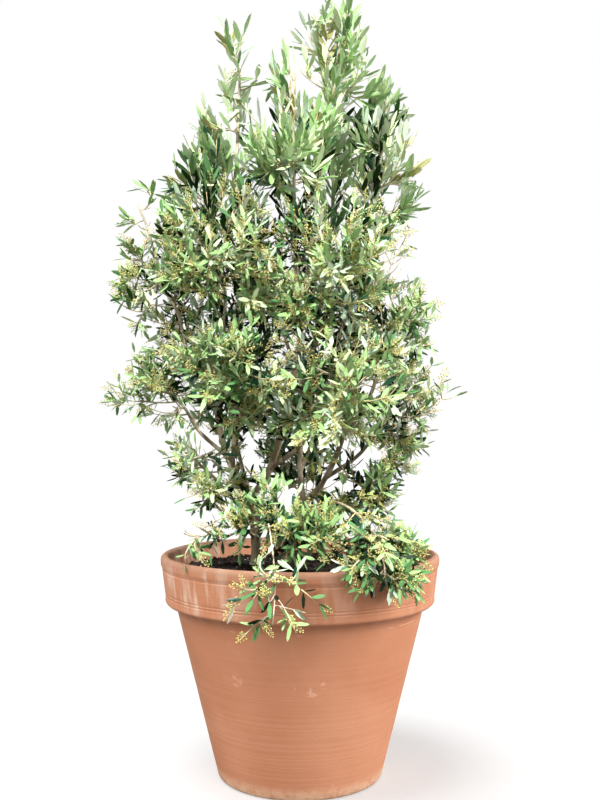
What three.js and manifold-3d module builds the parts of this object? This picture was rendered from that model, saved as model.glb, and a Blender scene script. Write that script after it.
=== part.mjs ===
// Potted olive: a bushy young olive tree in a rimmed terracotta pot.
// Millimetres, +Z up. The origin is the centre of the pot's flat underside, and -Y is the front.
import * as THREE from "three";
import Module from "manifold-3d";

const wasm = await Module();
wasm.setup();

// ---------------------------------------------------------------- driving dimensions

const GAP = 0.3; // clearance between pieces that touch
const FINEST = 0.03; // details smaller than this are smoothed away

const POT_HEIGHT = 390;
const LIP_RADIUS = 250; // outside, at the rolled lip
const LIP_HEIGHT = 20;
const BAND_TOP_RADIUS = 247.5; // the rim band, just under the lip
const BAND_FOOT_RADIUS = 241;
const BAND_HEIGHT = 86; // from the band's rounded foot to the top of the lip
const BAND_ROUND = 14; // height of that rounded foot
const BAND_CURL = [6, 1]; // at its underside the foot has curled in and up by this much
const NECK_RADIUS = 223; // the body, just under the band
const NECK_RIDGE = 4; // a low ridge where the body meets the band
const NECK_RIDGE_HEIGHT = 6;
const FOOT_RADIUS = 146;
const FOOT_BEVEL = 4;
const WALL = 16;
const SHOULDER = [10, 32]; // inside, the wall steps out by this much over this height
const SHOULDER_BELOW = 8; // and this much of that height lies below the neck
const FLOOR_THICKNESS = 22;
const FLOOR_FILLET = [9, 8]; // in and up
const DRAIN_RADIUS = 11;
const DRAIN_CIRCLE = 64; // distance of the drain holes from the axis
const DRAIN_COUNT = 3;
const DRAIN_SIDES = 10;
const POT_SIDES = 36;
const LIP_ARCS = 4;
const LIP_FOOT = [1, 3]; // the lip's foot stands back by this much, over this height

const SOIL_TOP = 362;
const SOIL_DIP = 5; // how far the soil has settled along the wall
const SOIL_DIP_WIDTH = 24;

const TRUNK_SIDES = 8;
const TRUNK_STEPS = 6;
const FLARE_HEIGHT = 13; // the root flare dies away over about this height

const BOUGH_SIDES = [6, 4]; // of a main bough and of a thinner one
const MAIN_BOUGH_RADIUS = 5;
const BOUGH_STEPS = 5;
const BOUGH_TIP_RADIUS = 3.4;
const BOUGH_LEAVING = 0.6; // how much a bough first follows the limb it leaves
const BOUGH_RISING = 0.5; // how much of its mass's rise a bough takes up at its tip
const BOUGH_ENTRY = { most: 0.8, least: 0.2, step: 0.05 }; // shares of its mass's half sizes

const TWIG_SIDES = 3;
const STEM_STEPS = 4;
const STEM_RADIUS = [3.4, 2.8]; // at the foot and at the tip
const STEM_BEND = 0.45; // the share of its length that a stem keeps its bough's heading
const TWIG_STEPS = 2;
const TWIG_RADIUS = [2.4, 1.9];
const TWIG_ROOT_RADIUS = 1.2; // a twig's root lies wholly inside its stem
const TWIG_ROOT_SHARE = 0.3; // of a twig's first piece: this near its stem it may pass a limb
const TWIG_PLACES = [0.1, 0.86]; // the first and the last twig, as shares of the stem

const TWIG_REACH = 0.6; // where the twigs end, as a share of their mass's half sizes
const LEAF_REACH = 1.4; // where the leaves end, likewise
const SPACE_MARGIN = 0.06; // free share of the half sizes along the border of two masses
const LIMB_CLEARANCE = 1.2;

const LEAF_LENGTH = 118;
const LEAF_WIDTH = 50;
const LEAF_THICKNESS = 2.6;
const LEAF_WIDEST = 0.46; // the widest place, as a share of the length
const LEAF_ARCH = 0.03; // how far it is arched there, likewise
const LEAFY_SHARE = 0.8; // the share of a twig that bears leaves
const LEAF_ROOT = 0.5; // how far a leaf's root is sunk past the twig's axis
const TIP_LEAF_ROOT = 3; // the same for the leaf at a twig's tip
const LEAF_FIRST = 14; // the first pair's distance from the twig's tip
const LEAF_SPACING = 48; // between the pairs along a twig
const RIB_START = 0.2; // the midrib counts from this share of its length
const LEAF_APART = 16; // least distance between the midribs of two leaves
const LEAF_OFF_TWIG = 7; // and from a midrib to another twig
const LEAF_SIZES = [1, 0.82, 0.66]; // a leaf without room is tried shorter, then left out
const PANICLE_LENGTH = 48;
const PANICLE_WIDTH = 15;
const PANICLE_STALK = 6;
const PANICLE_PLACES = [0.35, 0.75]; // shares of the twig
const PANICLE_LEAN = 0.6; // how much it leans towards the twig's tip

const CROWN_AXIS = [-25, 0]; // the upright line that shoots lean away from

// Stems rising from the soil: foot, fork, radius at both, and the extra radius of the root flare.
const TRUNKS = [
  { name: "trunk_main", foot: [-80, 50], fork: [-90, 48, 492], radius: [9.6, 8.4], flare: 6 },
  { name: "trunk_right", foot: [-34, 38], fork: [18, 44, 488], radius: [7.6, 5.8], flare: 4 },
];

// How the foliage grows. out and rise head a mass's stem away from the crown's axis and upwards,
// bend bows each twig up (above 0) or down by that share of its length, splay opens the leaves,
// and size scales them.
const HABITS = {
  upright: { out: 0.25, rise: 0.95, bend: -0.16, splay: [26, 44], size: 1 },
  spread: { out: 0.75, rise: 0.6, bend: -0.1, splay: [34, 56], size: 1 },
  weep: { out: 0.5, rise: -0.85, bend: 0.22, splay: [34, 58], size: 0.72 },
};
const WEEP_BACK = 0.3; // a weeping mass is entered from above, and this far back

// The foliage masses: centre, half sizes, habit, number of twigs and of blossom panicles.
// Each has one bough: the limb it leaves, where along that limb, its radius there, and its bow,
// up (above 0) or down, as a share of its length. A main bough heads for its knee first.
const MASSES = [
  { name: "top_right", centre: [64, 0, 1262], half: [80, 78, 116], habit: "upright",
    twigs: 8, panicles: 0, from: "trunk_main", at: 0.97, radius: 7.4, bow: 0,
    knee: [-5, 46, 565] },
  { name: "upper_left", centre: [-170, 12, 1030], half: [86, 96, 112], habit: "upright",
    twigs: 8, panicles: 0, from: "trunk_main", at: 0.93, radius: 7, bow: -0.02,
    knee: [-190, 42, 600] },
  { name: "upper_right", centre: [150, 22, 1085], half: [78, 92, 132], habit: "upright",
    twigs: 8, panicles: 0, from: "trunk_right", at: 0.96, radius: 5.6, bow: -0.02,
    knee: [112, 44, 570] },
  { name: "upper_back", centre: [72, 112, 1150], half: [104, 86, 124], habit: "upright",
    twigs: 8, panicles: 0, from: "trunk_right", at: 0.86, radius: 5.2, bow: -0.02,
    knee: [-30, 62, 600] },
  { name: "top_left", centre: [-104, 8, 1222], half: [46, 60, 108], habit: "upright",
    twigs: 6, panicles: 0, from: "bough_upper_left", at: 0.8, radius: 3.9, bow: -0.02 },
  { name: "upper_front", centre: [-14, -90, 1105], half: [98, 86, 112], habit: "upright",
    twigs: 8, panicles: 1, from: "bough_top_right", at: 0.5, radius: 4.6, bow: -0.1 },
  { name: "shoulder_left", centre: [-250, 0, 868], half: [94, 98, 104], habit: "spread",
    twigs: 7, panicles: 2, from: "bough_upper_left", at: 0.42, radius: 4.4, bow: -0.08 },
  { name: "middle_left", centre: [-124, -125, 908], half: [108, 90, 118], habit: "spread",
    twigs: 7, panicles: 1, from: "bough_upper_left", at: 0.3, radius: 4.4, bow: -0.1 },
  { name: "middle_front", centre: [56, -140, 886], half: [106, 90, 118], habit: "spread",
    twigs: 8, panicles: 2, from: "bough_top_right", at: 0.28, radius: 4.6, bow: -0.12 },
  { name: "shoulder_right", centre: [176, 10, 800], half: [84, 96, 92], habit: "spread",
    twigs: 7, panicles: 2, from: "bough_upper_right", at: 0.3, radius: 4.4, bow: -0.1 },
  { name: "middle_back_left", centre: [-62, 135, 945], half: [110, 94, 120], habit: "spread",
    twigs: 6, panicles: 1, from: "bough_upper_back", at: 0.4, radius: 4.2, bow: -0.08 },
  { name: "middle_back_right", centre: [112, 150, 860], half: [108, 96, 122], habit: "spread",
    twigs: 6, panicles: 1, from: "bough_upper_back", at: 0.3, radius: 4.2, bow: -0.08 },
  { name: "low_left", centre: [-246, 0, 680], half: [98, 98, 80], habit: "spread",
    twigs: 7, panicles: 2, from: "bough_upper_left", at: 0.2, radius: 4.4, bow: -0.06 },
  { name: "low_left_front", centre: [-108, -140, 700], half: [112, 92, 116], habit: "spread",
    twigs: 8, panicles: 2, from: "bough_upper_left", at: 0.12, radius: 4.4, bow: -0.1 },
  { name: "low_right_front", centre: [62, -145, 672], half: [110, 92, 116], habit: "spread",
    twigs: 8, panicles: 2, from: "bough_top_right", at: 0.14, radius: 4.4, bow: -0.1 },
  { name: "low_right", centre: [184, 10, 645], half: [86, 94, 86], habit: "spread",
    twigs: 8, panicles: 2, from: "bough_upper_right", at: 0.12, radius: 4.4, bow: -0.08 },
  { name: "low_back_left", centre: [-150, 145, 735], half: [108, 98, 118], habit: "spread",
    twigs: 6, panicles: 1, from: "trunk_main", at: 0.86, radius: 4.6, bow: -0.08 },
  { name: "low_back_right", centre: [60, 155, 690], half: [112, 98, 112], habit: "spread",
    twigs: 6, panicles: 1, from: "bough_upper_back", at: 0.14, radius: 4.2, bow: -0.08 },
  { name: "skirt_left", centre: [-165, -40, 545], half: [90, 96, 64], habit: "spread",
    twigs: 7, panicles: 1, from: "trunk_main", at: 0.5, radius: 4.4, bow: 0.04 },
  { name: "skirt_right", centre: [112, -45, 502], half: [92, 92, 72], habit: "spread",
    twigs: 7, panicles: 2, from: "trunk_right", at: 0.56, radius: 4.4, bow: 0.06 },
  { name: "skirt_back", centre: [-4, 112, 528], half: [100, 84, 76], habit: "spread",
    twigs: 6, panicles: 1, from: "trunk_right", at: 0.72, radius: 4.4, bow: 0.06 },
  { name: "base_front", centre: [-28, -105, 462], half: [84, 80, 60], habit: "spread",
    twigs: 6, panicles: 1, from: "trunk_right", at: 0.3, radius: 4.2, bow: 0.08 },
  { name: "droop_right", centre: [122, -214, 402], half: [82, 70, 70], habit: "weep",
    twigs: 8, panicles: 1, from: "trunk_right", at: 0.22, radius: 4.4, bow: 0.16 },
  { name: "droop_front", centre: [-40, -276, 350], half: [84, 42, 60], habit: "weep",
    twigs: 6, panicles: 1, from: "trunk_main", at: 0.22, radius: 4.2, bow: 0.2 },
  { name: "rim_left", centre: [-150, -152, 438], half: [60, 60, 46], habit: "spread",
    twigs: 5, panicles: 1, from: "trunk_main", at: 0.3, radius: 4, bow: 0.1 },
  { name: "spray_left", centre: [-292, 0, 990], half: [46, 56, 62], habit: "upright",
    twigs: 4, panicles: 0, from: "bough_upper_left", at: 0.6, radius: 3.8, bow: -0.04 },
];

// ---------------------------------------------------------------- helpers

const UP = new THREE.Vector3(0, 0, 1);
const GOLDEN_ANGLE = Math.PI * (3 - Math.sqrt(5));

const mix = (a, b, t) => a + (b - a) * t;
const radians = (angle) => (angle * Math.PI) / 180;
const clamp = (value, low, high) => Math.min(high, Math.max(low, value));
const vector = (list) => new THREE.Vector3(...list);
const step = (point, direction, length) => point.clone().addScaledVector(direction, length);

// A repeatable stream of numbers between 0 and 1.
function seeded(seed) {
  let state = seed * 7919;
  const next = () => {
    state = (state * 16807) % 2147483647;
    return state / 2147483647;
  };
  next();
  return next;
}

// A closed solid from a list of points and of triangles between them.
function solid(points, triangles) {
  return new wasm.Manifold(new wasm.Mesh({
    numProp: 3,
    vertProperties: new Float32Array(points.flatMap((p) => [p.x, p.y, p.z])),
    triVerts: new Uint32Array(triangles.flat()),
  }));
}

// The largest body of a solid: loose scraps are dropped and sealed hollows are filled.
function largest(made) {
  const bodies = made.simplify(FINEST).decompose();
  return bodies.sort((a, b) => b.volume() - a.volume())[0];
}

// A square frame around a direction: two unit vectors at right angles to it and to each other.
function frameAround(direction) {
  const reference = Math.abs(direction.z) > 0.9 ? new THREE.Vector3(0, 1, 0) : UP;
  const side = new THREE.Vector3().crossVectors(reference, direction).normalize();
  return [side, new THREE.Vector3().crossVectors(direction, side)];
}

// The direction of a path at one of its points.
function heading(path, i) {
  const before = path[Math.max(0, i - 1)];
  const after = path[Math.min(path.length - 1, i + 1)];
  return after.clone().sub(before).normalize();
}

// A closed tube along a path, with flat ends; the first end may be cut across another direction.
function tube(path, radii, sides, firstAcross = null) {
  const points = [];
  let side = frameAround(heading(path, 0))[0];
  path.forEach((centre, i) => {
    const forward = i === 0 && firstAcross ? firstAcross : heading(path, i);
    side = side.clone().addScaledVector(forward, -side.dot(forward)).normalize();
    const other = new THREE.Vector3().crossVectors(forward, side);
    for (let k = 0; k < sides; k++) {
      const turn = (2 * Math.PI * k) / sides;
      const across = side.clone().multiplyScalar(Math.cos(turn));
      across.addScaledVector(other, Math.sin(turn));
      points.push(step(centre, across, radii[i]));
    }
  });
  const triangles = [];
  for (let i = 0; i + 1 < path.length; i++) {
    for (let k = 0; k < sides; k++) {
      const a = i * sides + k;
      const b = i * sides + ((k + 1) % sides);
      triangles.push([a, b, b + sides], [a, b + sides, a + sides]);
    }
  }
  const last = (path.length - 1) * sides;
  for (let k = 1; k + 1 < sides; k++) {
    triangles.push([0, k + 1, k], [last, last + k, last + k + 1]);
  }
  return solid(points, triangles);
}

// A limb: its path and its radius at each point of it.
function limb(name, path, first, last) {
  const radii = path.map((_, i) => mix(first, last, i / (path.length - 1)));
  return { name, path, radii };
}

// The point, direction and radius of a limb at a share of the way along it.
function along(piece, share) {
  const place = clamp(share, 0, 1) * (piece.path.length - 1);
  const i = Math.min(Math.floor(place), piece.path.length - 2);
  return {
    point: piece.path[i].clone().lerp(piece.path[i + 1], place - i),
    direction: piece.path[i + 1].clone().sub(piece.path[i]).normalize(),
    radius: mix(piece.radii[i], piece.radii[i + 1], place - i),
  };
}

// The shortest distance between the straight lines a-b and c-d.
function lineDistance(a, b, c, d) {
  const u = b.clone().sub(a);
  const v = d.clone().sub(c);
  const w = a.clone().sub(c);
  const uu = u.dot(u);
  const uv = u.dot(v);
  const vv = v.dot(v);
  const area = uu * vv - uv * uv;
  let s = area < 1e-9 ? 0 : clamp((uv * v.dot(w) - vv * u.dot(w)) / area, 0, 1);
  const t = clamp((uv * s + v.dot(w)) / vv, 0, 1);
  s = clamp((uv * t - u.dot(w)) / uu, 0, 1);
  return step(a, u, s).distanceTo(step(c, v, t));
}

// ---------------------------------------------------------------- pot and soil

// The wall leans out evenly from the foot to the neck under the band.
const NECK_HEIGHT = POT_HEIGHT - BAND_HEIGHT;
const WALL_SLOPE = (NECK_RADIUS - FOOT_RADIUS) / NECK_HEIGHT;
const bodyRadius = (z) => FOOT_RADIUS + WALL_SLOPE * z;
const wallInside = (z) => bodyRadius(z) - WALL;

// The inside of the pot, from the shoulder under the rim down to the floor.
const NECK_INSIDE = wallInside(NECK_HEIGHT);
const SHOULDER_FOOT = NECK_HEIGHT - SHOULDER_BELOW;
const SHOULDER_TOP = SHOULDER_FOOT + SHOULDER[1];
const FILLET_TOP = FLOOR_THICKNESS + FLOOR_FILLET[1];
const FLOOR_RADIUS = wallInside(FLOOR_THICKNESS) - FLOOR_FILLET[0];

function lathe(profile, sides) {
  const outline = profile.map(([r, z]) => new THREE.Vector2(r, z));
  const turned = new THREE.LatheGeometry(outline, sides).rotateX(Math.PI / 2);
  const position = turned.getAttribute("position");
  const points = [];
  const rows = profile.length;
  for (let k = 0; k < sides; k++) {
    for (let i = 0; i < rows; i++) {
      points.push(new THREE.Vector3().fromBufferAttribute(position, k * rows + i));
    }
  }
  const triangles = [];
  for (let k = 0; k < sides; k++) {
    const next = (k + 1) % sides;
    for (let i = 0; i + 1 < rows; i++) {
      // A row on the axis is one point, the first column's.
      const a = i === 0 ? 0 : k * rows + i;
      const b = i === 0 ? 0 : next * rows + i;
      const c = i + 2 === rows ? rows - 1 : next * rows + i + 1;
      const d = i + 2 === rows ? rows - 1 : k * rows + i + 1;
      if (a !== b) triangles.push([a, b, c]);
      if (c !== d) triangles.push([a, c, d]);
    }
  }
  return solid(points, triangles);
}

function makePot() {
  const lipFoot = POT_HEIGHT - LIP_HEIGHT;
  const roll = WALL / 2; // radius of the rounded top of the lip
  const outline = [
    [0, 0],
    [FOOT_RADIUS - FOOT_BEVEL, 0],
    [bodyRadius(FOOT_BEVEL), FOOT_BEVEL],
    [bodyRadius(NECK_HEIGHT - NECK_RIDGE_HEIGHT), NECK_HEIGHT - NECK_RIDGE_HEIGHT],
    [NECK_RADIUS + NECK_RIDGE, NECK_HEIGHT],
    [BAND_FOOT_RADIUS - BAND_CURL[0], NECK_HEIGHT + BAND_CURL[1]],
    [BAND_FOOT_RADIUS - BAND_CURL[1], NECK_HEIGHT + BAND_CURL[0]],
    [BAND_FOOT_RADIUS, NECK_HEIGHT + BAND_ROUND],
    [BAND_TOP_RADIUS, lipFoot],
    [LIP_RADIUS - LIP_FOOT[0], lipFoot + LIP_FOOT[1]],
  ];
  for (let i = 0; i <= LIP_ARCS; i++) {
    const turn = (Math.PI * i) / LIP_ARCS;
    const out = LIP_RADIUS - roll + roll * Math.cos(turn);
    outline.push([out, POT_HEIGHT - roll + roll * Math.sin(turn)]);
  }
  outline.push(
    [NECK_INSIDE + SHOULDER[0], SHOULDER_TOP],
    [NECK_INSIDE, SHOULDER_FOOT],
    [wallInside(FILLET_TOP), FILLET_TOP],
    [FLOOR_RADIUS, FLOOR_THICKNESS],
    [0, FLOOR_THICKNESS],
  );
  let pot = lathe(outline, POT_SIDES);
  for (let i = 0; i < DRAIN_COUNT; i++) {
    const turn = (2 * Math.PI * i) / DRAIN_COUNT;
    const middle = vector([DRAIN_CIRCLE * Math.cos(turn), DRAIN_CIRCLE * Math.sin(turn), 0]);
    const ends = [step(middle, UP, -FLOOR_THICKNESS), step(middle, UP, 2 * FLOOR_THICKNESS)];
    pot = pot.subtract(tube(ends, [DRAIN_RADIUS, DRAIN_RADIUS], DRAIN_SIDES));
  }
  return pot;
}

// The soil fills the pot, level in the middle and sunk along the wall.
function makeSoil() {
  const edge = SOIL_TOP - SOIL_DIP;
  const lipFoot = POT_HEIGHT - WALL / 2;
  const rise = (edge - SHOULDER_TOP) / (lipFoot - SHOULDER_TOP);
  const atEdge = mix(NECK_INSIDE + SHOULDER[0], LIP_RADIUS - WALL, rise);
  const clear = GAP * 2;
  return lathe([
    [0, FLOOR_THICKNESS + GAP],
    [FLOOR_RADIUS - clear, FLOOR_THICKNESS + GAP],
    [wallInside(FILLET_TOP) - clear, FILLET_TOP + GAP],
    [NECK_INSIDE - clear, SHOULDER_FOOT + GAP],
    [NECK_INSIDE + SHOULDER[0] - clear, SHOULDER_TOP],
    [atEdge - clear, edge],
    [atEdge - SOIL_DIP_WIDTH, SOIL_TOP],
    [0, SOIL_TOP],
  ], POT_SIDES);
}

// ---------------------------------------------------------------- limbs

function makeTrunk(row) {
  const foot = vector([...row.foot, SOIL_TOP + GAP]);
  const fork = vector(row.fork);
  const height = fork.z - foot.z;
  const curve = new THREE.CubicBezierCurve3(
    foot,
    step(foot, UP, height / 3),
    step(fork, fork.clone().sub(foot).normalize(), -height / 3),
    fork,
  );
  const trunk = limb(row.name, curve.getPoints(TRUNK_STEPS), row.radius[0], row.radius[1]);
  trunk.radii = trunk.radii.map((radius, i) => {
    const above = trunk.path[i].z - foot.z;
    return radius + row.flare * Math.exp(-above / FLARE_HEIGHT);
  });
  return trunk;
}

const inScale = (mass, point) =>
  point.clone().sub(vector(mass.centre)).divide(vector(mass.half));
const placed = (mass, scaled) => scaled.clone().multiply(vector(mass.half)).add(vector(mass.centre));

// A mass's own space: nearer to it than to any other mass, each in its own scale.
function ownSpace(mass, point, reach) {
  const own = inScale(mass, point).length();
  if (own > reach) return false;
  return MASSES.every((other) =>
    other === mass || inScale(other, point).length() > own + SPACE_MARGIN);
}

// Whether a point is clear of the pot and the soil by a radius.
function offPot(point, radius) {
  if (point.z > POT_HEIGHT + radius) return true;
  const out = Math.hypot(point.x, point.y);
  if (out > LIP_RADIUS + radius) return true;
  return out < NECK_INSIDE - radius && point.z > SOIL_TOP + radius;
}

// The level direction from the crown's axis to a mass.
function outward(mass) {
  const away = new THREE.Vector3(mass.centre[0] - CROWN_AXIS[0], mass.centre[1] - CROWN_AXIS[1], 0);
  return away.normalize();
}

// Where a mass's stem starts and ends, in the mass's own scale.
function stemEnds(mass, comesFrom) {
  const habit = HABITS[mass.habit];
  const way = outward(mass).multiplyScalar(habit.out);
  const end = way.clone().addScaledVector(UP, habit.rise).normalize().multiplyScalar(TWIG_REACH);
  const back = inScale(mass, comesFrom).normalize();
  if (mass.habit === "weep") {
    back.copy(outward(mass).multiplyScalar(-WEEP_BACK).add(UP)).normalize();
  }
  let start = BOUGH_ENTRY.most;
  const inside = () => ownSpace(mass, placed(mass, back.clone().multiplyScalar(start)), 1);
  while (start > BOUGH_ENTRY.least && !inside()) start -= BOUGH_ENTRY.step;
  return [back.multiplyScalar(start), end];
}

function makeBough(mass, parent) {
  const leaves = along(parent, mass.at);
  const [entry] = stemEnds(mass, leaves.point);
  const tip = placed(mass, entry);
  const length = tip.distanceTo(leaves.point);
  const straight = tip.clone().sub(leaves.point).normalize();
  const lift = UP.clone().addScaledVector(straight, -straight.z).normalize();
  const first = straight.clone().addScaledVector(leaves.direction, BOUGH_LEAVING).normalize();
  const rising = HABITS[mass.habit].rise * BOUGH_RISING;
  const last = straight.clone().addScaledVector(UP, rising).normalize();
  const knee = mass.knee
    ? vector(mass.knee)
    : step(leaves.point, first, length / 3).addScaledVector(lift, mass.bow * length);
  const arrival = step(tip, last, -length / 3).addScaledVector(lift, mass.bow * length);
  const curve = new THREE.CubicBezierCurve3(leaves.point, knee, arrival, tip);
  const path = curve.getPoints(BOUGH_STEPS);
  const bough = limb("bough_" + mass.name, path, mass.radius, BOUGH_TIP_RADIUS);
  bough.parent = parent;
  return bough;
}

// ---------------------------------------------------------------- foliage

function makeStem(mass, bough) {
  const tip = bough.path[bough.path.length - 1];
  const direction = heading(bough.path, bough.path.length - 1);
  const [, end] = stemEnds(mass, bough.path[0]);
  const top = placed(mass, end);
  const foot = step(tip, direction, GAP);
  const bend = step(foot, direction, foot.distanceTo(top) * STEM_BEND);
  const curve = new THREE.QuadraticBezierCurve3(foot, bend, top);
  const stem = limb("stem", curve.getPoints(STEM_STEPS), ...STEM_RADIUS);
  stem.across = direction;
  return stem;
}

// Twigs aim at points spread evenly over the mass, and the highest leaves the stem highest.
function makeTwig(mass, stem, k) {
  const level = 1 - (2 * (k + 0.5)) / mass.twigs;
  const ring = Math.sqrt(1 - level * level);
  const turn = k * GOLDEN_ANGLE + MASSES.indexOf(mass);
  const aim = new THREE.Vector3(ring * Math.cos(turn), ring * Math.sin(turn), level);
  const order = mass.habit === "weep" ? k : mass.twigs - 1 - k;
  const leaves = along(stem, mix(...TWIG_PLACES, order / (mass.twigs - 1)));
  const tip = placed(mass, aim.multiplyScalar(TWIG_REACH));
  const length = tip.distanceTo(leaves.point);
  const bend = leaves.point.clone().lerp(tip, 0.5);
  bend.addScaledVector(UP, HABITS[mass.habit].bend * length);
  const curve = new THREE.QuadraticBezierCurve3(leaves.point, bend, tip);
  const twig = limb("twig", curve.getPoints(TWIG_STEPS), ...TWIG_RADIUS);
  twig.radii[0] = TWIG_ROOT_RADIUS;
  return twig;
}

const lengthOf = (path) =>
  path.slice(1).reduce((sum, point, i) => sum + point.distanceTo(path[i]), 0);

// Whether a straight piece with some radius stays in its mass's space and clear of the rest.
function fits(mass, from, to, radius, limbs) {
  for (const share of [0.5, 0.75, 1]) {
    const point = from.clone().lerp(to, share);
    if (!ownSpace(mass, point, LEAF_REACH) || !offPot(point, radius + LIMB_CLEARANCE)) return false;
  }
  return limbs.every((piece) => piece.path.slice(1).every((end, i) => {
    const room = Math.max(piece.radii[i], piece.radii[i + 1]) + radius + LIMB_CLEARANCE;
    return lineDistance(from, to, piece.path[i], end) > room;
  }));
}

// A blade: widest before its middle, with a ridge along its top; its root lies inside the twig.
function blade(root, direction, normal, length, width, thickness) {
  const across = new THREE.Vector3().crossVectors(direction, normal);
  const middle = step(root, direction, length * LEAF_WIDEST);
  middle.addScaledVector(normal, length * LEAF_ARCH);
  const points = [
    root,
    step(middle, across, width / 2),
    step(middle, normal, thickness),
    step(middle, across, -width / 2),
    step(root, direction, length),
  ];
  return solid(points, [[0, 1, 2], [0, 2, 3], [0, 3, 1], [4, 2, 1], [4, 3, 2], [4, 1, 3]]);
}

// The leaves, in pairs that turn by a right angle from one pair to the next, and one at the tip.
// ribs holds the midribs of the leaves so far.
function leavesOn(mass, twig, twigs, random, limbs, ribs) {
  const habit = HABITS[mass.habit];
  const length = lengthOf(twig.path);
  const found = [];
  const otherTwigs = twigs.filter((other) => other !== twig);
  const offTwigs = (rib) => otherTwigs.every((other) => other.path.slice(1).every((end, i) =>
    lineDistance(...rib, other.path[i], end) > LEAF_OFF_TWIG));
  const turned = random() * Math.PI;
  const count = Math.ceil((length * LEAFY_SHARE - LEAF_FIRST) / LEAF_SPACING);
  const wanted = [{ share: 1, splay: 0, turn: turned }];
  for (let i = 0; i < count; i++) {
    for (const half of [0, Math.PI]) {
      wanted.push({
        share: 1 - (LEAF_FIRST + i * LEAF_SPACING) / length,
        splay: radians(mix(...habit.splay, random())),
        turn: turned + half + (i * Math.PI) / 2,
      });
    }
  }
  for (const place of wanted) {
    const at = along(twig, place.share);
    const [side, other] = frameAround(at.direction);
    const away = side.multiplyScalar(Math.cos(place.turn));
    away.addScaledVector(other, Math.sin(place.turn));
    const direction = at.direction.clone().multiplyScalar(Math.cos(place.splay));
    direction.addScaledVector(away, Math.sin(place.splay)).normalize();
    const facing = place.splay > 0 ? at.direction.clone() : away.clone();
    const normal = facing.addScaledVector(direction, -facing.dot(direction)).normalize();
    const root = step(at.point, direction, place.splay > 0 ? -LEAF_ROOT : -TIP_LEAF_ROOT);
    const ribOf = (share) =>
      [RIB_START, 1].map((part) => step(root, direction, LEAF_LENGTH * share * part));
    const size = LEAF_SIZES.map((share) => share * habit.size).find((share) => {
      const rib = ribOf(share);
      return ribs.every((other) => lineDistance(...rib, ...other) > LEAF_APART)
        && offTwigs(rib)
        && fits(mass, ...rib, (LEAF_WIDTH / 2) * share, limbs);
    });
    if (!size) continue;
    ribs.push(ribOf(size));
    found.push(blade(root, direction, normal, LEAF_LENGTH * size, LEAF_WIDTH * size, LEAF_THICKNESS));
  }
  return found;
}

// A spray of flower buds: a short spindle that stands off a twig.
function panicleOn(mass, twig, random, limbs) {
  const at = along(twig, mix(...PANICLE_PLACES, random()));
  const [side, other] = frameAround(at.direction);
  const turn = random() * 2 * Math.PI;
  const direction = at.direction.clone().multiplyScalar(PANICLE_LEAN);
  direction.addScaledVector(side, Math.cos(turn)).addScaledVector(other, Math.sin(turn)).normalize();
  const root = step(at.point, direction, -LEAF_ROOT / 2);
  const tip = step(root, direction, PANICLE_LENGTH);
  if (!fits(mass, step(root, direction, PANICLE_STALK), tip, PANICLE_WIDTH / 2, limbs)) return null;
  const normal = frameAround(direction)[0];
  return blade(root, direction, normal, PANICLE_LENGTH, PANICLE_WIDTH, PANICLE_WIDTH);
}

function makeFoliage(mass, bough, limbs) {
  const random = seeded(MASSES.indexOf(mass) + 1);
  const stem = makeStem(mass, bough);
  const pieces = [tube(stem.path, stem.radii, TWIG_SIDES, stem.across)];
  const ribs = [];
  const twigs = [];
  const leaves = [];
  for (let k = 0; k < mass.twigs; k++) {
    const twig = makeTwig(mass, stem, k);
    const clear = twig.path.slice(1).every((end, i) => {
      const from = twig.path[i].clone().lerp(end, i === 0 ? TWIG_ROOT_SHARE : 0);
      return fits(mass, from, end, TWIG_RADIUS[0], limbs);
    });
    if (clear) twigs.push(twig);
  }
  twigs.push(stem);
  for (const twig of twigs) {
    if (twig !== stem) pieces.push(tube(twig.path, twig.radii, TWIG_SIDES));
    leaves.push(...leavesOn(mass, twig, twigs, random, limbs, ribs));
  }
  for (const twig of twigs.slice(0, mass.panicles)) {
    const panicle = panicleOn(mass, twig, random, limbs);
    if (panicle) leaves.push(panicle);
  }
  return largest(wasm.Manifold.union([...pieces, ...leaves]));
}

// ---------------------------------------------------------------- the object

const MATERIALS = {
  terracotta: new THREE.MeshStandardMaterial({ color: 0xc68b6c, roughness: 0.85 }),
  soil: new THREE.MeshStandardMaterial({ color: 0x2a221a, roughness: 1 }),
  bark: new THREE.MeshStandardMaterial({ color: 0x85796a, roughness: 0.9 }),
  foliage: new THREE.MeshStandardMaterial({ color: 0x8a9c6c, roughness: 0.7 }),
};

const plant = new THREE.Group();
plant.name = "potted_olive";

function addNode(name, made, material) {
  const data = made.getMesh();
  const geometry = new THREE.BufferGeometry();
  geometry.setAttribute("position", new THREE.BufferAttribute(data.vertProperties, 3));
  geometry.setIndex(new THREE.BufferAttribute(data.triVerts, 1));
  const mesh = new THREE.Mesh(geometry, MATERIALS[material]);
  mesh.name = name;
  plant.add(mesh);
}

addNode("pot", makePot(), "terracotta");
addNode("soil", makeSoil(), "soil");

const limbs = TRUNKS.map(makeTrunk);
for (const trunk of limbs) {
  trunk.across = UP;
  addNode(trunk.name, tube(trunk.path, trunk.radii, TRUNK_SIDES, UP), "bark");
}

for (const mass of MASSES) {
  limbs.push(makeBough(mass, limbs.find((piece) => piece.name === mass.from)));
}

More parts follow.
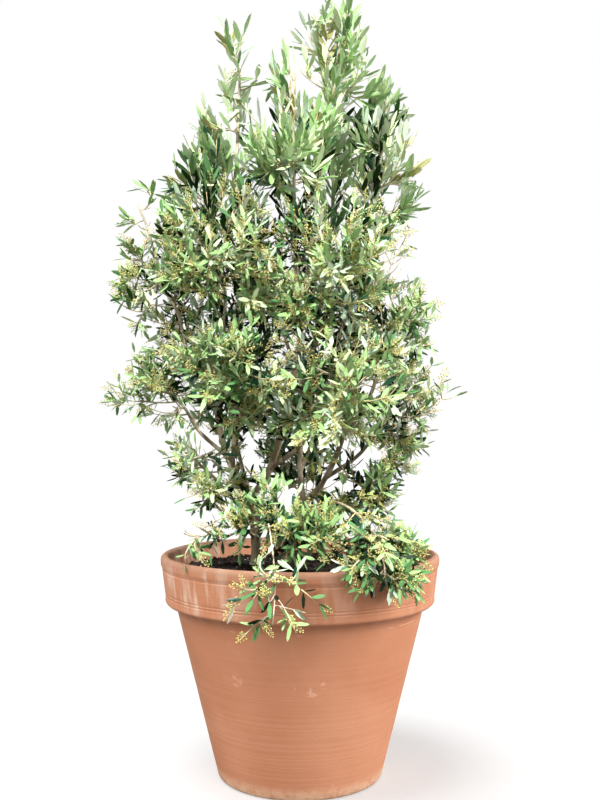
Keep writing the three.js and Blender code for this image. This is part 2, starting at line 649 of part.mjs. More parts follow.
// A bough is cut to fit the limb it leaves, and the boughs that already leave it, with the gap.
const boughs = limbs.filter((piece) => piece.parent);
const sidesOf = (piece) => {
  if (!piece.parent) return TRUNK_SIDES;
  return BOUGH_SIDES[piece.radii[0] < MAIN_BOUGH_RADIUS ? 1 : 0];
};
boughs.forEach((bough, i) => {
  const neighbours = boughs.slice(0, i).filter((other) => other.parent === bough.parent);
  let made = tube(bough.path, bough.radii, sidesOf(bough));
  for (const other of [bough.parent, ...neighbours]) {
    const around = other.radii.map((radius) => radius + GAP);
    made = made.subtract(tube(other.path, around, sidesOf(other), other.across));
  }
  addNode(bough.name, largest(made), "bark");
});

for (const mass of MASSES) {
  const bough = limbs.find((piece) => piece.name === "bough_" + mass.name);
  addNode("foliage_" + mass.name, makeFoliage(mass, bough, limbs), "foliage");
}

export default plant;
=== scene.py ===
"""The looks of the potted olive tree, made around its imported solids.

The tables and the growth rule are the part's own, in millimetres, and carried on to finer
shoots; the meshes are made in metres. -Y is the front.
"""

import math

import bpy
import numpy as np
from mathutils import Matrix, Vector, noise


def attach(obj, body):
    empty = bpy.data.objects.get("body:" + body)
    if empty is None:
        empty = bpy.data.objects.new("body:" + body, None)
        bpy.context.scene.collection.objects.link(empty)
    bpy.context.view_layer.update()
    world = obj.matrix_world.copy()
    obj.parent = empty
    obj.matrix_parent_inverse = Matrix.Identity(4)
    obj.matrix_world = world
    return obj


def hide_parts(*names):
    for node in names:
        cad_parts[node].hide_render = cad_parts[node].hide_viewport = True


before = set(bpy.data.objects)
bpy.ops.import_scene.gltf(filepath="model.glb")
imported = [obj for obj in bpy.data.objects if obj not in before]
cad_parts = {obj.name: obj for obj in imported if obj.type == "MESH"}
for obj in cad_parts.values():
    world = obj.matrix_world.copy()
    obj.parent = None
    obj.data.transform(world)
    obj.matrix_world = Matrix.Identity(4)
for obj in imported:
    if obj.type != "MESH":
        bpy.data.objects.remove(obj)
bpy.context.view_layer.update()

# ---------------------------------------------------------------- driving dimensions

MM = 0.001
GAP = 0.3  # clearance between a bough's tip and its stem

POT_HEIGHT = 390
LIP_RADIUS = 250
LIP_HEIGHT = 20
BAND_TOP_RADIUS = 247.5
BAND_FOOT_RADIUS = 241
BAND_HEIGHT = 86
BAND_ROUND = 14
NECK_RADIUS = 223
FOOT_RADIUS = 146
FOOT_BEVEL = 4
WALL = 16
# Small steps of the pot's outline, outwards and upwards from the neck or the foot of the lip.
BAND_UNDERSIDE = ((0.4, -6), (3.2, -3.4), (4, -0.6), (5.5, 0.4), (11.5, 0.8))
BAND_EDGE = (6, 6.6)  # how far out and up the band's lower edge is rounded
LIP_UNDERSIDE = ((-1.6, 1), (-0.5, 3.5))
GROOVES = (17, 22, 62)  # heights above the neck
GROOVE_DEPTH = 1.1
POT_UNEVENNESS = 0.5
SHOULDER = (10, 32)  # inside, the wall steps out by this much over this height
FLOOR_THICKNESS = 22
FLOOR_FILLET = (9, 8)
DRAIN_RADIUS = 11
DRAIN_CIRCLE = 64
DRAIN_COUNT = 3
POT_SIDES = 144

# Pale scuffs on the pot's side: place and size.
SCUFFS = (
    ((-102, -165, 205), 15), ((-110, -158, 216), 8), ((20, -195, 192), 15), ((38, -190, 203), 9),
    ((-12, -196, 198), 8), ((52, -140, 30), 9),
)

SOIL_TOP = 362
SOIL_DIP = 5
SOIL_DIP_WIDTH = 24
SOIL_GAP = 0.6  # between the compost and the pot's wall
SOIL_RINGS = 64
SOIL_SPOKES = 160
SOIL_RELIEF = 2.6
STREWN_WIDTH = 0.985  # crumbs and specks lie on this much of the compost's radius
STREWN_UNEVENNESS = 0.7
CRUMBS = dict(count=1500, sizes=(1.6, 5.5), lift=0.1, seed=11)
SPECKS = dict(count=130, sizes=(0.8, 1.7), lift=0.5, seed=12)

TRUNK_SUNK = 4.0  # the trunks' feet are this far below the top of the compost
FLARE_HEIGHT = 13
BOUGH_TIP_RADIUS = 2.8
BOUGH_LEAVING = 0.6  # how much a bough first follows the limb it leaves
BOUGH_RISING = 0.5  # how much of its mass's rise a bough takes up at its tip
BOUGH_ENTRY = (0.8, 0.2, 0.05)  # most, least and step, as shares of its mass's half sizes
BARK_STEP = 5  # distance between the rings of a limb's mesh
BARK_SIDES = 14
BARK_RELIEF = 0.09  # share of the radius

STEM_RADIUS = (3.2, 2.1)
STEM_BEND = 0.45
TWIG_RADIUS = (1.9, 1.1)
TWIG_PLACES = (0.1, 0.86)
TWIG_REACH = 0.6  # where the twigs end, as a share of their mass's half sizes
SHOOT_REACH = 1.25  # how far shoots go, and leaves below, in their mass's scale
# How much nearer to their mass than to any other things must be, in the masses' own scales.
ENTRY_MARGIN = 0.06
SHOOT_MARGIN = -0.3
LEAF_MARGIN = -0.35
THINNING = (0.75, 0.75)  # from this share of the half sizes on, shoots get fewer, this fast
NEAR = 1.2  # points this near another mass, in its scale, are inside the crown
LEAF_REACH = 1.32
SPRAY_REACH = 9  # lone sprays go as far as they like
LIMB_CLEARANCE = 1.2
POT_CLEARANCE = 3  # of the middles of the leaves
SHOOT_RADIUS = (1.15, 0.6)
SPRAY_RADIUS = (1.5, 0.7)
SPRAY_SHOOT_SHARE = 0.35
EXTRA_SPRAYS = 3
BRIDGED = 2.5  # masses nearer than this, in their own scale, have a spray between them
BRIDGE_OUT = 0.6
INNER_DEPTH = -0.1  # shoots nearer the crown's axis than this, in their mass's scale, get dark leaves as painted shade

EYE_DISTANCE = 1700  # in front of the pot's axis; the openings run along the sight lines
EYE_HEIGHT = 612
EYE_RISE = 1.8  # degrees that the camera looks up
FOCAL_LENGTH = 42.03

LEAF_THICKNESS = 0.6
LEAVES_SHED = 0.06  # share of the leaves that a shoot has lost
LEAF_TURN = (0.6, 0.35, 0.9)  # how much leaves face upwards, outwards and at random
LEAF_SECTIONS = ((0.12, 0.18), (0.45, 0.5), (0.83, 0.35))  # along, half width

PANICLE_LENGTH = 30
PANICLE_SEED = 5
PANICLE_NODES = 6
PANICLE_RADII = (0.45, 0.35, 0.25)
PANICLE_REACH = (8.2, 3.2)  # of the stalks, from the foot to the tip
PANICLE_SHARES = {"upright": 0.03, "spread": 0.195, "weep": 0.25}  # of the leaves
BUD_RADIUS = 1.35
PIECE_TRIANGLES = 190000  # at most, in a joined mesh

UP = np.array([0.0, 0.0, 1.0])
GOLDEN_ANGLE = math.pi * (3 - math.sqrt(5))
CROWN_AXIS = np.array([-25.0, 0.0])
FLOOR_REACH = 60000
FLOOR_DEPTH = 0.5  # below the pot's foot

AMBIENT = (0.14, 0.88)  # from behind and from the front
FLOOR_GLOW = 0.53
# Suns: degrees to the right of the front, degrees up, power, and softness in degrees.
# The floor and the pot have their own, softer ones, and only the pot shades the floor.
FLOOR_SUN = ("floor_sun", -62, 74, 1.9, 28)
POT_SUNS = (("pot_top_sun", -40, 46, 4.9, 55), ("pot_side_sun", 76, 28, 6.0, 40))
SUNS = (("top_sun", -14, 50, 7.4, 6), ("side_sun", 92, 36, 4.8, 10))

# Stems rising from the soil: foot, fork, radius at both, and the extra radius of the root flare.
TRUNKS = (
    dict(name="trunk_main", foot=(-80, 50), fork=(-90, 48, 492), radius=(9.6, 8.4), flare=6),
    dict(name="trunk_right", foot=(-34, 38), fork=(18, 44, 488), radius=(7.6, 5.8), flare=4),
)

# How the foliage grows. out and rise head a mass's stem away from the crown's axis and upwards,
# and bend bows each twig. The rest is the finer growth: pairs of side shoots every so many
# millimetres, their length at the foot and at the tip of what bears them, how they open and
# rise, and the same for the leaves on them.
HABITS = {
    "upright": dict(
        out=0.25, rise=0.95, bend=-0.16, shoot_spacing=36, shoot_length=(150, 90),
        shoot_splay=(18, 46), shoot_rise=0.7, leaf_length=(45, 30), leaf_spacing=17,
        leaf_splay=(20, 46), leaf_width=0.24,
    ),
    "spread": dict(
        out=0.75, rise=0.6, bend=-0.1, shoot_spacing=23, shoot_length=(140, 90),
        shoot_splay=(30, 78), shoot_rise=0.3, leaf_length=(32, 19), leaf_spacing=13,
        leaf_splay=(36, 72), leaf_width=0.27,
    ),
    "weep": dict(
        out=0.5, rise=-0.85, bend=0.22, shoot_spacing=22, shoot_length=(100, 60),
        shoot_splay=(30, 62), shoot_rise=-0.1, leaf_length=(40, 24), leaf_spacing=11,
        leaf_splay=(32, 62), leaf_width=0.27,
    ),
}

# The foliage masses. Beside centre and half sizes: the number of twigs, the limb that the mass's
# bough leaves, where along it, and the bough's radius and bow as a share of its length.
MASS_COLUMNS = (
    "name", "centre", "half", "habit", "twigs", "source", "at", "radius", "bow",
)
MASSES = [dict(zip(MASS_COLUMNS, row)) for row in (
    ("top_right", (64, 0, 1262), (80, 78, 116), "upright", 8, "trunk_main", 0.97, 7.4, 0),
    ("upper_left", (-170, 12, 1030), (86, 96, 112), "upright", 8, "trunk_main", 0.93, 7, -0.02),
    ("upper_right", (150, 22, 1085), (78, 92, 132), "upright", 8, "trunk_right", 0.96, 5.6, -0.02),
    ("upper_back", (72, 112, 1150), (104, 86, 124), "upright", 8, "trunk_right", 0.86, 5.2, -0.02),
    ("top_left", (-104, 8, 1222), (46, 60, 108), "upright",
     6, "bough_upper_left", 0.8, 3.9, -0.02),
    ("upper_front", (-14, -90, 1105), (98, 86, 112), "upright",
     8, "bough_top_right", 0.5, 4.6, -0.1),
    ("shoulder_left", (-250, 0, 868), (94, 98, 104), "spread",
     7, "bough_upper_left", 0.42, 4.4, -0.08),
    ("middle_left", (-124, -125, 908), (108, 90, 118), "spread",
     7, "bough_upper_left", 0.3, 4.4, -0.1),
    ("middle_front", (56, -140, 886), (106, 90, 118), "spread",
     8, "bough_top_right", 0.28, 4.6, -0.12),
    ("shoulder_right", (176, 10, 800), (84, 96, 92), "spread",
     7, "bough_upper_right", 0.3, 4.4, -0.1),
    ("middle_back_left", (-62, 135, 945), (110, 94, 120), "spread",
     6, "bough_upper_back", 0.4, 4.2, -0.08),
    ("middle_back_right", (112, 150, 860), (108, 96, 122), "spread",
     6, "bough_upper_back", 0.3, 4.2, -0.08),
    ("low_left", (-246, 0, 680), (98, 98, 80), "spread", 7, "bough_upper_left", 0.2, 4.4, -0.06),
    ("low_left_front", (-108, -140, 700), (112, 92, 116), "spread",
     8, "bough_upper_left", 0.12, 4.4, -0.1),
    ("low_right_front", (62, -145, 672), (110, 92, 116), "spread",
     8, "bough_top_right", 0.14, 4.4, -0.1),
    ("low_right", (184, 10, 645), (86, 94, 86), "spread",
     8, "bough_upper_right", 0.12, 4.4, -0.08),
    ("low_back_left", (-150, 145, 735), (108, 98, 118), "spread",
     6, "trunk_main", 0.86, 4.6, -0.08),
    ("low_back_right", (60, 155, 690), (112, 98, 112), "spread",
     6, "bough_upper_back", 0.14, 4.2, -0.08),
    ("skirt_left", (-165, -40, 545), (90, 96, 64), "spread", 7, "trunk_main", 0.5, 4.4, 0.04),
    ("skirt_right", (112, -45, 502), (92, 92, 72), "spread", 7, "trunk_right", 0.56, 4.4, 0.06),
    ("skirt_back", (-4, 112, 528), (100, 84, 76), "spread", 6, "trunk_right", 0.72, 4.4, 0.06),
    ("base_front", (-28, -105, 462), (84, 80, 60), "spread", 6, "trunk_right", 0.3, 4.2, 0.08),
    ("droop_right", (122, -214, 402), (82, 70, 70), "weep", 8, "trunk_right", 0.22, 4.4, 0.16),
    ("droop_front", (-40, -276, 350), (84, 42, 60), "weep", 6, "trunk_main", 0.22, 4.2, 0.2),
    ("rim_left", (-150, -152, 438), (60, 60, 46), "spread", 5, "trunk_main", 0.3, 4, 0.1),
    ("spray_left", (-292, 0, 990), (46, 56, 62), "upright",
     4, "bough_upper_left", 0.6, 3.8, -0.04),
)]

# Boughs that turn up at a knee, and masses whose wood is slimmer than the rest.
KNEES = {
    "top_right": (-5, 46, 565), "upper_left": (-190, 42, 600), "upper_right": (112, 44, 570),
    "upper_back": (-30, 62, 600),
}
SLIM = {"droop_right": 0.75, "droop_front": 0.4, "rim_left": 0.7, "spray_left": 0.7}

# Masses that are fuller (above 1) or airier than the rest.
FULLNESS = {
    "top_left": 0.4, "top_right": 0.75, "upper_left": 0.85, "upper_front": 1.1,
    "middle_left": 1.15, "middle_front": 1.15, "droop_right": 1.3, "base_front": 1.5,
    "skirt_right": 1.35, "shoulder_left": 0.9, "skirt_left": 0.85, "skirt_back": 1.3,
    "low_left": 0.85, "low_left_front": 1.2, "low_right_front": 1.2, "low_right": 0.9,
}

# Masses whose finer growth differs from their habit's.
OWN_GROWTH = {
    "droop_right": dict(leaf_length=(30, 20), leaf_spacing=12, shoot_length=(80, 50)),
    "droop_front": dict(
        shoot_spacing=600, shoot_length=(40, 30), leaf_length=(30, 20), leaf_spacing=17,
    ),
    "rim_left": dict(
        shoot_spacing=80, shoot_length=(50, 34), shoot_rise=-0.5, leaf_length=(26, 17),
        leaf_spacing=15,
    ),
    "spray_left": dict(
        shoot_spacing=120, shoot_length=(46, 34), leaf_length=(34, 24), leaf_spacing=17,
        leaf_width=0.24,
    ),
}

# Lone sprays that stand out of the crown or fill it: for each mass that they leave, their tips.
SPRAYS = {
    "top_left": (
        (-130, 0, 1370), (-137, 0, 1350), (-154, 0, 1236), (-160, 0, 1220), (-84, -10, 1286),
        (-62, -10, 1290), (-190, 0, 1130), (-150, 0, 1160), (-205, 0, 1110), (-92, -20, 1232),
        (-78, -20, 1250),
    ),
    "upper_left": (
        (-178, 0, 1194), (-170, 0, 1176), (-95, -80, 1060), (-180, -20, 1112), (-195, 0, 1152),
        (-150, -40, 1150), (-128, -40, 1142), (-262, 0, 1000), (-268, 0, 1022), (-250, -10, 1030),
        (-252, -20, 990),
    ),
    "upper_front": (
        (-70, -50, 1242), (-30, -40, 1286), (-45, -50, 1236), (-14, -60, 1200), (-75, -110, 1040),
        (-88, -110, 1066), (-50, -120, 1020), (-63, -130, 1028), (-66, -130, 1044),
    ),
    "top_right": (
        (1, 10, 1385), (20, 0, 1401), (48, 0, 1392), (119, -10, 1368), (-20, 10, 1362),
        (-26, -5, 1292), (112, -30, 1290), (114, -30, 1262), (118, -40, 1280), (136, -30, 1276),
        (98, -30, 1274), (128, 0, 1300),
    ),
    "upper_back": ((-60, 60, 1040),),
    "middle_left": ((-64, -120, 1010), (-60, -60, 840), (-66, -150, 812), (-50, -150, 790),),
    "upper_right": (
        (150, 0, 1262), (138, -20, 1270), (183, 0, 1252), (200, 10, 1222), (219, 5, 1040),
        (222, -10, 1000), (205, 0, 1010), (208, -20, 1014), (212, -10, 992), (190, -10, 990),
        (92, -60, 1100), (75, -70, 1066),
    ),
    "spray_left": (
        (-290, 0, 1094), (-278, 0, 1086), (-350, 0, 1000), (-350, 0, 982), (-345, -5, 1012),
        (-330, 0, 958),
    ),
    "shoulder_left": (
        (-322, 0, 958), (-332, 0, 975), (-248, -20, 1000), (-257, -20, 1012), (-345, 0, 868),
        (-345, 0, 905), (-335, 0, 892), (-282, 0, 790),
    ),
    "low_left": (
        (-290, -10, 771), (-278, -20, 780), (-300, 0, 700), (-320, 0, 700), (-362, 0, 668),
        (-320, 0, 628), (-228, -30, 612), (-205, -30, 600),
    ),
    "shoulder_right": ((226, 0, 860), (222, 0, 800), (212, 0, 1000),),
    "low_right": (
        (250, 0, 752), (292, -10, 694), (205, -20, 735), (236, 0, 622), (228, 0, 600),
        (215, 0, 560), (205, -20, 572), (212, 20, 556), (205, -40, 560),
    ),
    "skirt_right": (
        (205, -30, 560), (168, -60, 478), (176, -50, 508), (176, -50, 490), (188, -30, 545),
        (148, -70, 470),
    ),
    "droop_right": (
        (167, -150, 446), (190, -150, 436), (206, -140, 441), (78, -180, 440), (140, -170, 448),
    ),
    "skirt_left": (
        (-235, -20, 530), (-244, -10, 518), (-215, -20, 518), (-215, -20, 590), (-238, -20, 606),
        (-128, -70, 452), (-145, -90, 460), (-155, -60, 464),
    ),
    "middle_front": ((-40, -100, 800), (-36, -160, 744), (-44, -150, 770),),
    "middle_back_left": ((-50, 120, 780),),
    "low_left_front": ((-50, -100, 690), (-57, -150, 608), (-52, -110, 640), (-60, -150, 655),),
    "low_right_front": ((-40, -100, 640), (-54, -130, 632), (-40, -150, 612),),
    "low_back_left": ((-66, 130, 640), (-60, 110, 612), (-70, 120, 598),),
    "low_back_right": ((-62, 140, 655), (-74, 130, 586),),
    "skirt_back": ((-58, 90, 592),),
    "rim_left": (
        (-150, -140, 468), (-132, -130, 460), (-165, -120, 466), (-200, -180, 372),
        (-165, -205, 396), (-120, -150, 412),
    ),
    "base_front": (
        (-118, -130, 418), (-149, -110, 470), (40, -150, 424), (-10, -190, 412), (84, -150, 446),
        (70, -170, 440),
    ),
    "droop_front": (
        (-62, -262, 292), (-6, -264, 293), (30, -262, 330), (-112, -236, 366), (-70, -252, 424),
        (-14, -250, 432), (-52, -256, 456),
    ),
}

# Openings where the sky shows through, from the front to the back: x, z and half sizes.
OPENINGS = (
    (-8, 1262, 19, 38), (20, 1236, 26, 22), (-14, 1232, 12, 18), (14, 1333, 12, 22),
    (-86, 1322, 11, 14), (-132, 1168, 18, 11), (-66, 1180, 13, 12), (162, 1208, 10, 16),
    (205, 1165, 10, 18), (210, 1118, 12, 15), (88, 1154, 8, 10), (147, 1116, 8, 12),
    (-128, 1073, 10, 12), (-185, 1027, 11, 11), (-248, 1088, 16, 18), (-4, 1062, 14, 24),
    (176, 1040, 10, 26), (162, 1022, 16, 18), (-292, 1006, 16, 26), (-292, 922, 28, 12),
    (-300, 880, 17, 11), (-308, 822, 22, 11), (-262, 806, 34, 9), (178, 905, 22, 28),
    (165, 846, 15, 15), (246, 850, 15, 12), (250, 784, 18, 14), (246, 716, 15, 14),
    (128, 690, 27, 20), (266, 652, 26, 34), (268, 600, 20, 14), (203, 614, 10, 16),
    (-226, 649, 46, 13), (-290, 662, 30, 7), (-176, 602, 15, 24), (-254, 582, 16, 10),
    (-199, 492, 20, 13), (-192, 436, 26, 25), (64, 538, 16, 10), (40, 510, 34, 12),
    (88, 505, 18, 10), (122, 566, 20, 14), (143, 571, 13, 14), (-26, 492, 14, 24),
    (206, 512, 16, 14), (-224, 412, 28, 26), (256, 350, 28, 60), (156, 918, 18, 26),
)

# Windows onto the main trunk: the same, but only in front of it.
WINDOWS = ((-84, 430, 13, 44),)
WINDOW_BACK = 30

# Kinds of leaf: colour of the top and of the underside (sRGB), and roughness of the top.
LEAVES = {
    "young": ((194, 214, 164), (208, 222, 184), 0.42),
    "fresh": ((140, 174, 112), (154, 182, 128), 0.38),
    "green": ((80, 121, 72), (102, 140, 90), 0.34),
    "olive": ((140, 138, 74), (158, 156, 98), 0.42),
    # The darkest kind: partly dark leaf tops, partly painted shade, dealt out inside and low in
    # the crown.
    "dark_with_painted_shade": ((13, 30, 6), (32, 56, 20), 0.4),
    "blue": ((22, 58, 40), (76, 118, 94), 0.36),
    "silver": ((168, 188, 160), (206, 218, 196), 0.42),
}

# The share of each kind among a mass's sprays, from the top of the crown down. Lower masses get
# more of the darkest kind, partly as painted shade under the crown.
MIXES = (
    (1150, dict(young=0.42, fresh=0.3, green=0.07, olive=0.04, dark_with_painted_shade=0.0, blue=0.03, silver=0.14)),
    (960, dict(young=0.3, fresh=0.27, green=0.1, olive=0.04, dark_with_painted_shade=0.1, blue=0.05, silver=0.14)),
    (510, dict(young=0.18, fresh=0.27, green=0.12, olive=0.05, dark_with_painted_shade=0.17, blue=0.09, silver=0.12)),
    (0, dict(fresh=0.14, green=0.3, olive=0.05, dark_with_painted_shade=0.36, blue=0.15)),
)
INNER_TOP = 1130  # higher up the crown is thin, and its middle gets no painted shade
# Painted shade: the dark kinds dealt out to the shoots inside the crown.
INNER_PAINTED_SHADE_MIX = dict(green=0.08, olive=0.04, dark_with_painted_shade=0.6, blue=0.28)
YOUNG_TIP = {"dark_with_painted_shade": "green", "green": "fresh", "blue": "silver", "olive": "fresh"}


# ---------------------------------------------------------------- vectors, curves and meshes

def mix(a, b, t):
    return a + (b - a) * t


def unit(vectors):
    vectors = np.asarray(vectors, float)
    return vectors / np.linalg.norm(vectors, axis=-1, keepdims=True)


def curve_at(controls, shares):
    """Points of the Bezier curve with these control points."""
    rows = [np.asarray(point, float)[None, :] for point in controls]
    shares = np.asarray(shares, float)[:, None]
    while len(rows) > 1:
        rows = [mix(a, b, shares) for a, b in zip(rows, rows[1:])]
    return rows[0]


def frame_around(direction):
    """Two unit vectors at right angles to a direction and to each other."""
    reference = np.array([0.0, 1.0, 0.0]) if abs(direction[2]) > 0.9 else UP
    side = unit(np.cross(reference, direction))
    return side, np.cross(direction, side)


class Limb:
    """A trunk, bough, stem, twig or shoot: a curve, and the radius along it."""

    def __init__(self, name, controls, radii, flare=0):
        self.name = name
        self.controls = [np.asarray(point, float) for point in controls]
        self.radii = radii
        self.flare = flare
        self.coarse = curve_at(self.controls, np.linspace(0, 1, 9))
        self.length = np.linalg.norm(np.diff(self.coarse, axis=0), axis=1).sum()

    def point(self, share):
        return curve_at(self.controls, [share])[0]

    def direction(self, share):
        ends = curve_at(self.controls, [max(0, share - 0.01), min(1, share + 0.01)])
        return unit(ends[1] - ends[0])

    def radius(self, shares):
        above = np.asarray(shares) * self.length
        return mix(*self.radii, np.asarray(shares)) + self.flare * np.exp(-above / FLARE_HEIGHT)


def rings_along(path, radii, sides):
    """The points of a tube, ring by ring, without a twist."""
    steps = np.diff(path, axis=0)
    headings = unit(np.vstack([steps[:1], steps[1:] + steps[:-1], steps[-1:]]))
    side = frame_around(headings[0])[0]
    turns = np.arange(sides) * 2 * math.pi / sides
    rings = []
    for centre, heading, radius in zip(path, headings, radii):
        side = unit(side - heading * (side @ heading))
        other = np.cross(heading, side)
        spokes = np.cos(turns)[:, None] * side + np.sin(turns)[:, None] * other
        rings.append(centre + spokes * radius)
    return np.array(rings)


def wall_faces(rings, sides, first=0):
    """Triangles between so many rings, which start at this point's number."""
    k = np.arange(sides)
    after = (k + 1) % sides
    faces = []
    for start in range(first, first + (rings - 1) * sides, sides):
        a, b = start + k, start + after
        faces += [np.stack([a, b, b + sides], 1), np.stack([a, b + sides, a + sides], 1)]
    return np.vstack(faces)


def fan_faces(centre, rim, sides, upwards):
    """Triangles between a point and the ring that starts at rim."""
    k = np.arange(sides)
    after = (k + 1) % sides
    ends = (rim + k, rim + after) if upwards else (rim + after, rim + k)
    return np.stack([np.full_like(k, centre), *ends], 1)


def tube_faces(rings, sides):
    """Triangles of a closed tube of so many rings, with a flat fan at both ends."""
    fan = np.arange(1, sides - 1)
    last = (rings - 1) * sides
    return np.vstack([
        wall_faces(rings, sides),
        np.stack([np.zeros_like(fan), fan + 1, fan], 1),
        np.stack([np.full_like(fan, last), last + fan, last + fan + 1], 1),
    ])


def turned_faces(rings, sides):
    """Triangles of a turned solid: a first point, so many rings going up, and a last point."""
    last = 1 + (rings - 1) * sides
    return np.vstack([
        fan_faces(0, 1, sides, upwards=False),
        wall_faces(rings, sides, first=1),
        fan_faces(1 + rings * sides, last, sides, upwards=True),
    ])


class Batch:
    """Gathers many small shapes into one mesh."""

    def __init__(self):
        self.points = []
        self.faces = []
        self.slots = []
        self.count = 0

    def add(self, points, faces, slots=None):
        self.points.append(points)
        self.faces.append(faces + self.count)
        self.slots.append(np.zeros(len(faces), int) if slots is None else slots)
        self.count += len(points)

    def add_copies(self, points, faces, slots=None):
        """Copies of one shape; points has a row of points for each copy."""
        offsets = np.arange(len(points))[:, None, None] * points.shape[1]
        slots = None if slots is None else np.tile(slots, len(points))
        self.add(points.reshape(-1, 3), (faces[None] + offsets).reshape(-1, 3), slots)

    def make(self, name, materials, smooth=True):
        points, faces = np.vstack(self.points), np.vstack(self.faces)
        mesh = bpy.data.meshes.new(name)
        mesh.vertices.add(len(points))
        mesh.vertices.foreach_set("co", (points * MM).astype(np.float32).ravel())
        mesh.loops.add(faces.size)
        mesh.loops.foreach_set("vertex_index", faces.astype(np.int32).ravel())
        mesh.polygons.add(len(faces))
        mesh.polygons.foreach_set("loop_start", np.arange(0, faces.size, 3, dtype=np.int32))
        mesh.polygons.foreach_set("use_smooth", np.full(len(faces), smooth))
        mesh.polygons.foreach_set("material_index", np.concatenate(self.slots).astype(np.int32))
        mesh.update(calc_edges=True)
        for material in materials:
            mesh.materials.append(material)
        made = bpy.data.objects.new(name, mesh)
        bpy.context.scene.collection.objects.link(made)
        return made


def make_mesh(name, points, faces, material):
    batch = Batch()
    batch.add(np.asarray(points, float), faces)
    return batch.make(name, [material])


def sharpen(made, is_sharp):
    """Marks the edges for which is_sharp says so, from their two points' numbers."""
    mesh = made.data
    ends = np.zeros(len(mesh.edges) * 2, np.int32)
    mesh.edges.foreach_get("vertices", ends)
    a, b = ends.reshape(-1, 2).T
    mark = mesh.attributes.new("sharp_edge", "BOOLEAN", "EDGE")
    mark.data.foreach_set("value", is_sharp(a, b))


# ---------------------------------------------------------------- materials

def linear(colour):
    """An sRGB colour of 0 to 255 as linear light, with alpha."""
    shares = np.asarray(colour, float) / 255
    light = np.where(shares <= 0.04045, shares / 12.92, ((shares + 0.055) / 1.055) ** 2.4)
    return (*light, 1.0)


class Nodes:
    """A material with a Principled shader, and short ways to add nodes to it."""

    def __init__(self, name, colour, roughness, specular=0.5):
        self.material = bpy.data.materials.new(name)
        self.material.use_nodes = True
        self.tree = self.material.node_tree
        self.shader = self.tree.nodes["Principled BSDF"]
        self.shader.inputs["Base Color"].default_value = linear(colour)
        self.shader.inputs["Roughness"].default_value = roughness
        self.shader.inputs["Specular IOR Level"].default_value = specular
        self.material.diffuse_color = linear(colour)
        self.place = None

    def add(self, kind, inputs=(), **settings):
        node = self.tree.nodes.new(kind)
        for key, value in settings.items():
            setattr(node, key, value)
        for key, value in dict(inputs).items():
            node.inputs[key].default_value = value
        return node

    def link(self, source, target):
        self.tree.links.new(source, target)

    def position(self, scale=(1, 1, 1)):
        if self.place is None:
            self.place = self.add("ShaderNodeTexCoord")
        mapping = self.add("ShaderNodeMapping", {"Scale": scale})
        self.link(self.place.outputs["Object"], mapping.inputs["Vector"])
        return mapping.outputs["Vector"]

    def noise(self, size, detail=3, stretch=(1, 1, 1), rough=0.55):
        """Noise whose blobs are about size metres across."""
        inputs = {"Scale": 1 / size, "Detail": detail, "Roughness": rough}
        node = self.add("ShaderNodeTexNoise", inputs)
        self.link(self.position(stretch), node.inputs["Vector"])
        return node.outputs["Fac"]

    def ramp(self, value, low, high, to_low=0.0, to_high=1.0):
        """value spread from low..high to to_low..to_high, smoothly."""
        inputs = {"From Min": low, "From Max": high, "To Min": to_low, "To Max": to_high}
        node = self.add("ShaderNodeMapRange", inputs, interpolation_type="SMOOTHSTEP")
        self.link(value, node.inputs["Value"])
        return node.outputs["Result"]

    def math(self, operation, a, b):
        node = self.add("ShaderNodeMath", operation=operation)
        for socket, value in zip(node.inputs, (a, b)):
            if isinstance(value, (int, float)):
                socket.default_value = value
            else:
                self.link(value, socket)
        return node.outputs["Value"]

    def blend(self, share, first, second):
        """One colour turning into another; a colour is an sRGB triple or a socket."""
        node = self.add("ShaderNodeMix", data_type="RGBA")
        self.link(share, node.inputs[0])
        for socket, colour in zip((node.inputs[6], node.inputs[7]), (first, second)):
            if isinstance(colour, tuple):
                socket.default_value = linear(colour)
            else:
                self.link(colour, socket)
        return node.outputs[2]

    def product(self, first, *others):
        for other in others:
            first = self.math("MULTIPLY", first, other)
        return first

    def along(self, axis):
        """The distance along an axis, X, Y or Z, in metres."""
        split = self.add("ShaderNodeSeparateXYZ")
        self.link(self.position(), split.inputs["Vector"])
        return split.outputs[axis]

    def spot(self, place, size):
        """1 at a place, dying away to 0 at this distance from it; both in millimetres."""
        node = self.add("ShaderNodeVectorMath", operation="DISTANCE")
        self.link(self.position(), node.inputs[0])
        node.inputs[1].default_value = [value * MM for value in place]
        return self.ramp(node.outputs["Value"], size * MM, size * MM * 0.4)

    def band(self, height, width):
        """1 in a thin level band at a height."""
        off = self.math("ABSOLUTE", self.math("SUBTRACT", self.along("Z"), height), 0)
        return self.ramp(off, width, width * 0.4)

    def colour(self, socket):
        self.link(socket, self.shader.inputs["Base Color"])

    def bump(self, value, distance, strength=1.0, before=None):
        node = self.add("ShaderNodeBump", {"Distance": distance, "Strength": strength})
        self.link(value, node.inputs["Height"])
        if before:
            self.link(before, node.inputs["Normal"])
        self.link(node.outputs["Normal"], self.shader.inputs["Normal"])
        return node.outputs["Normal"]


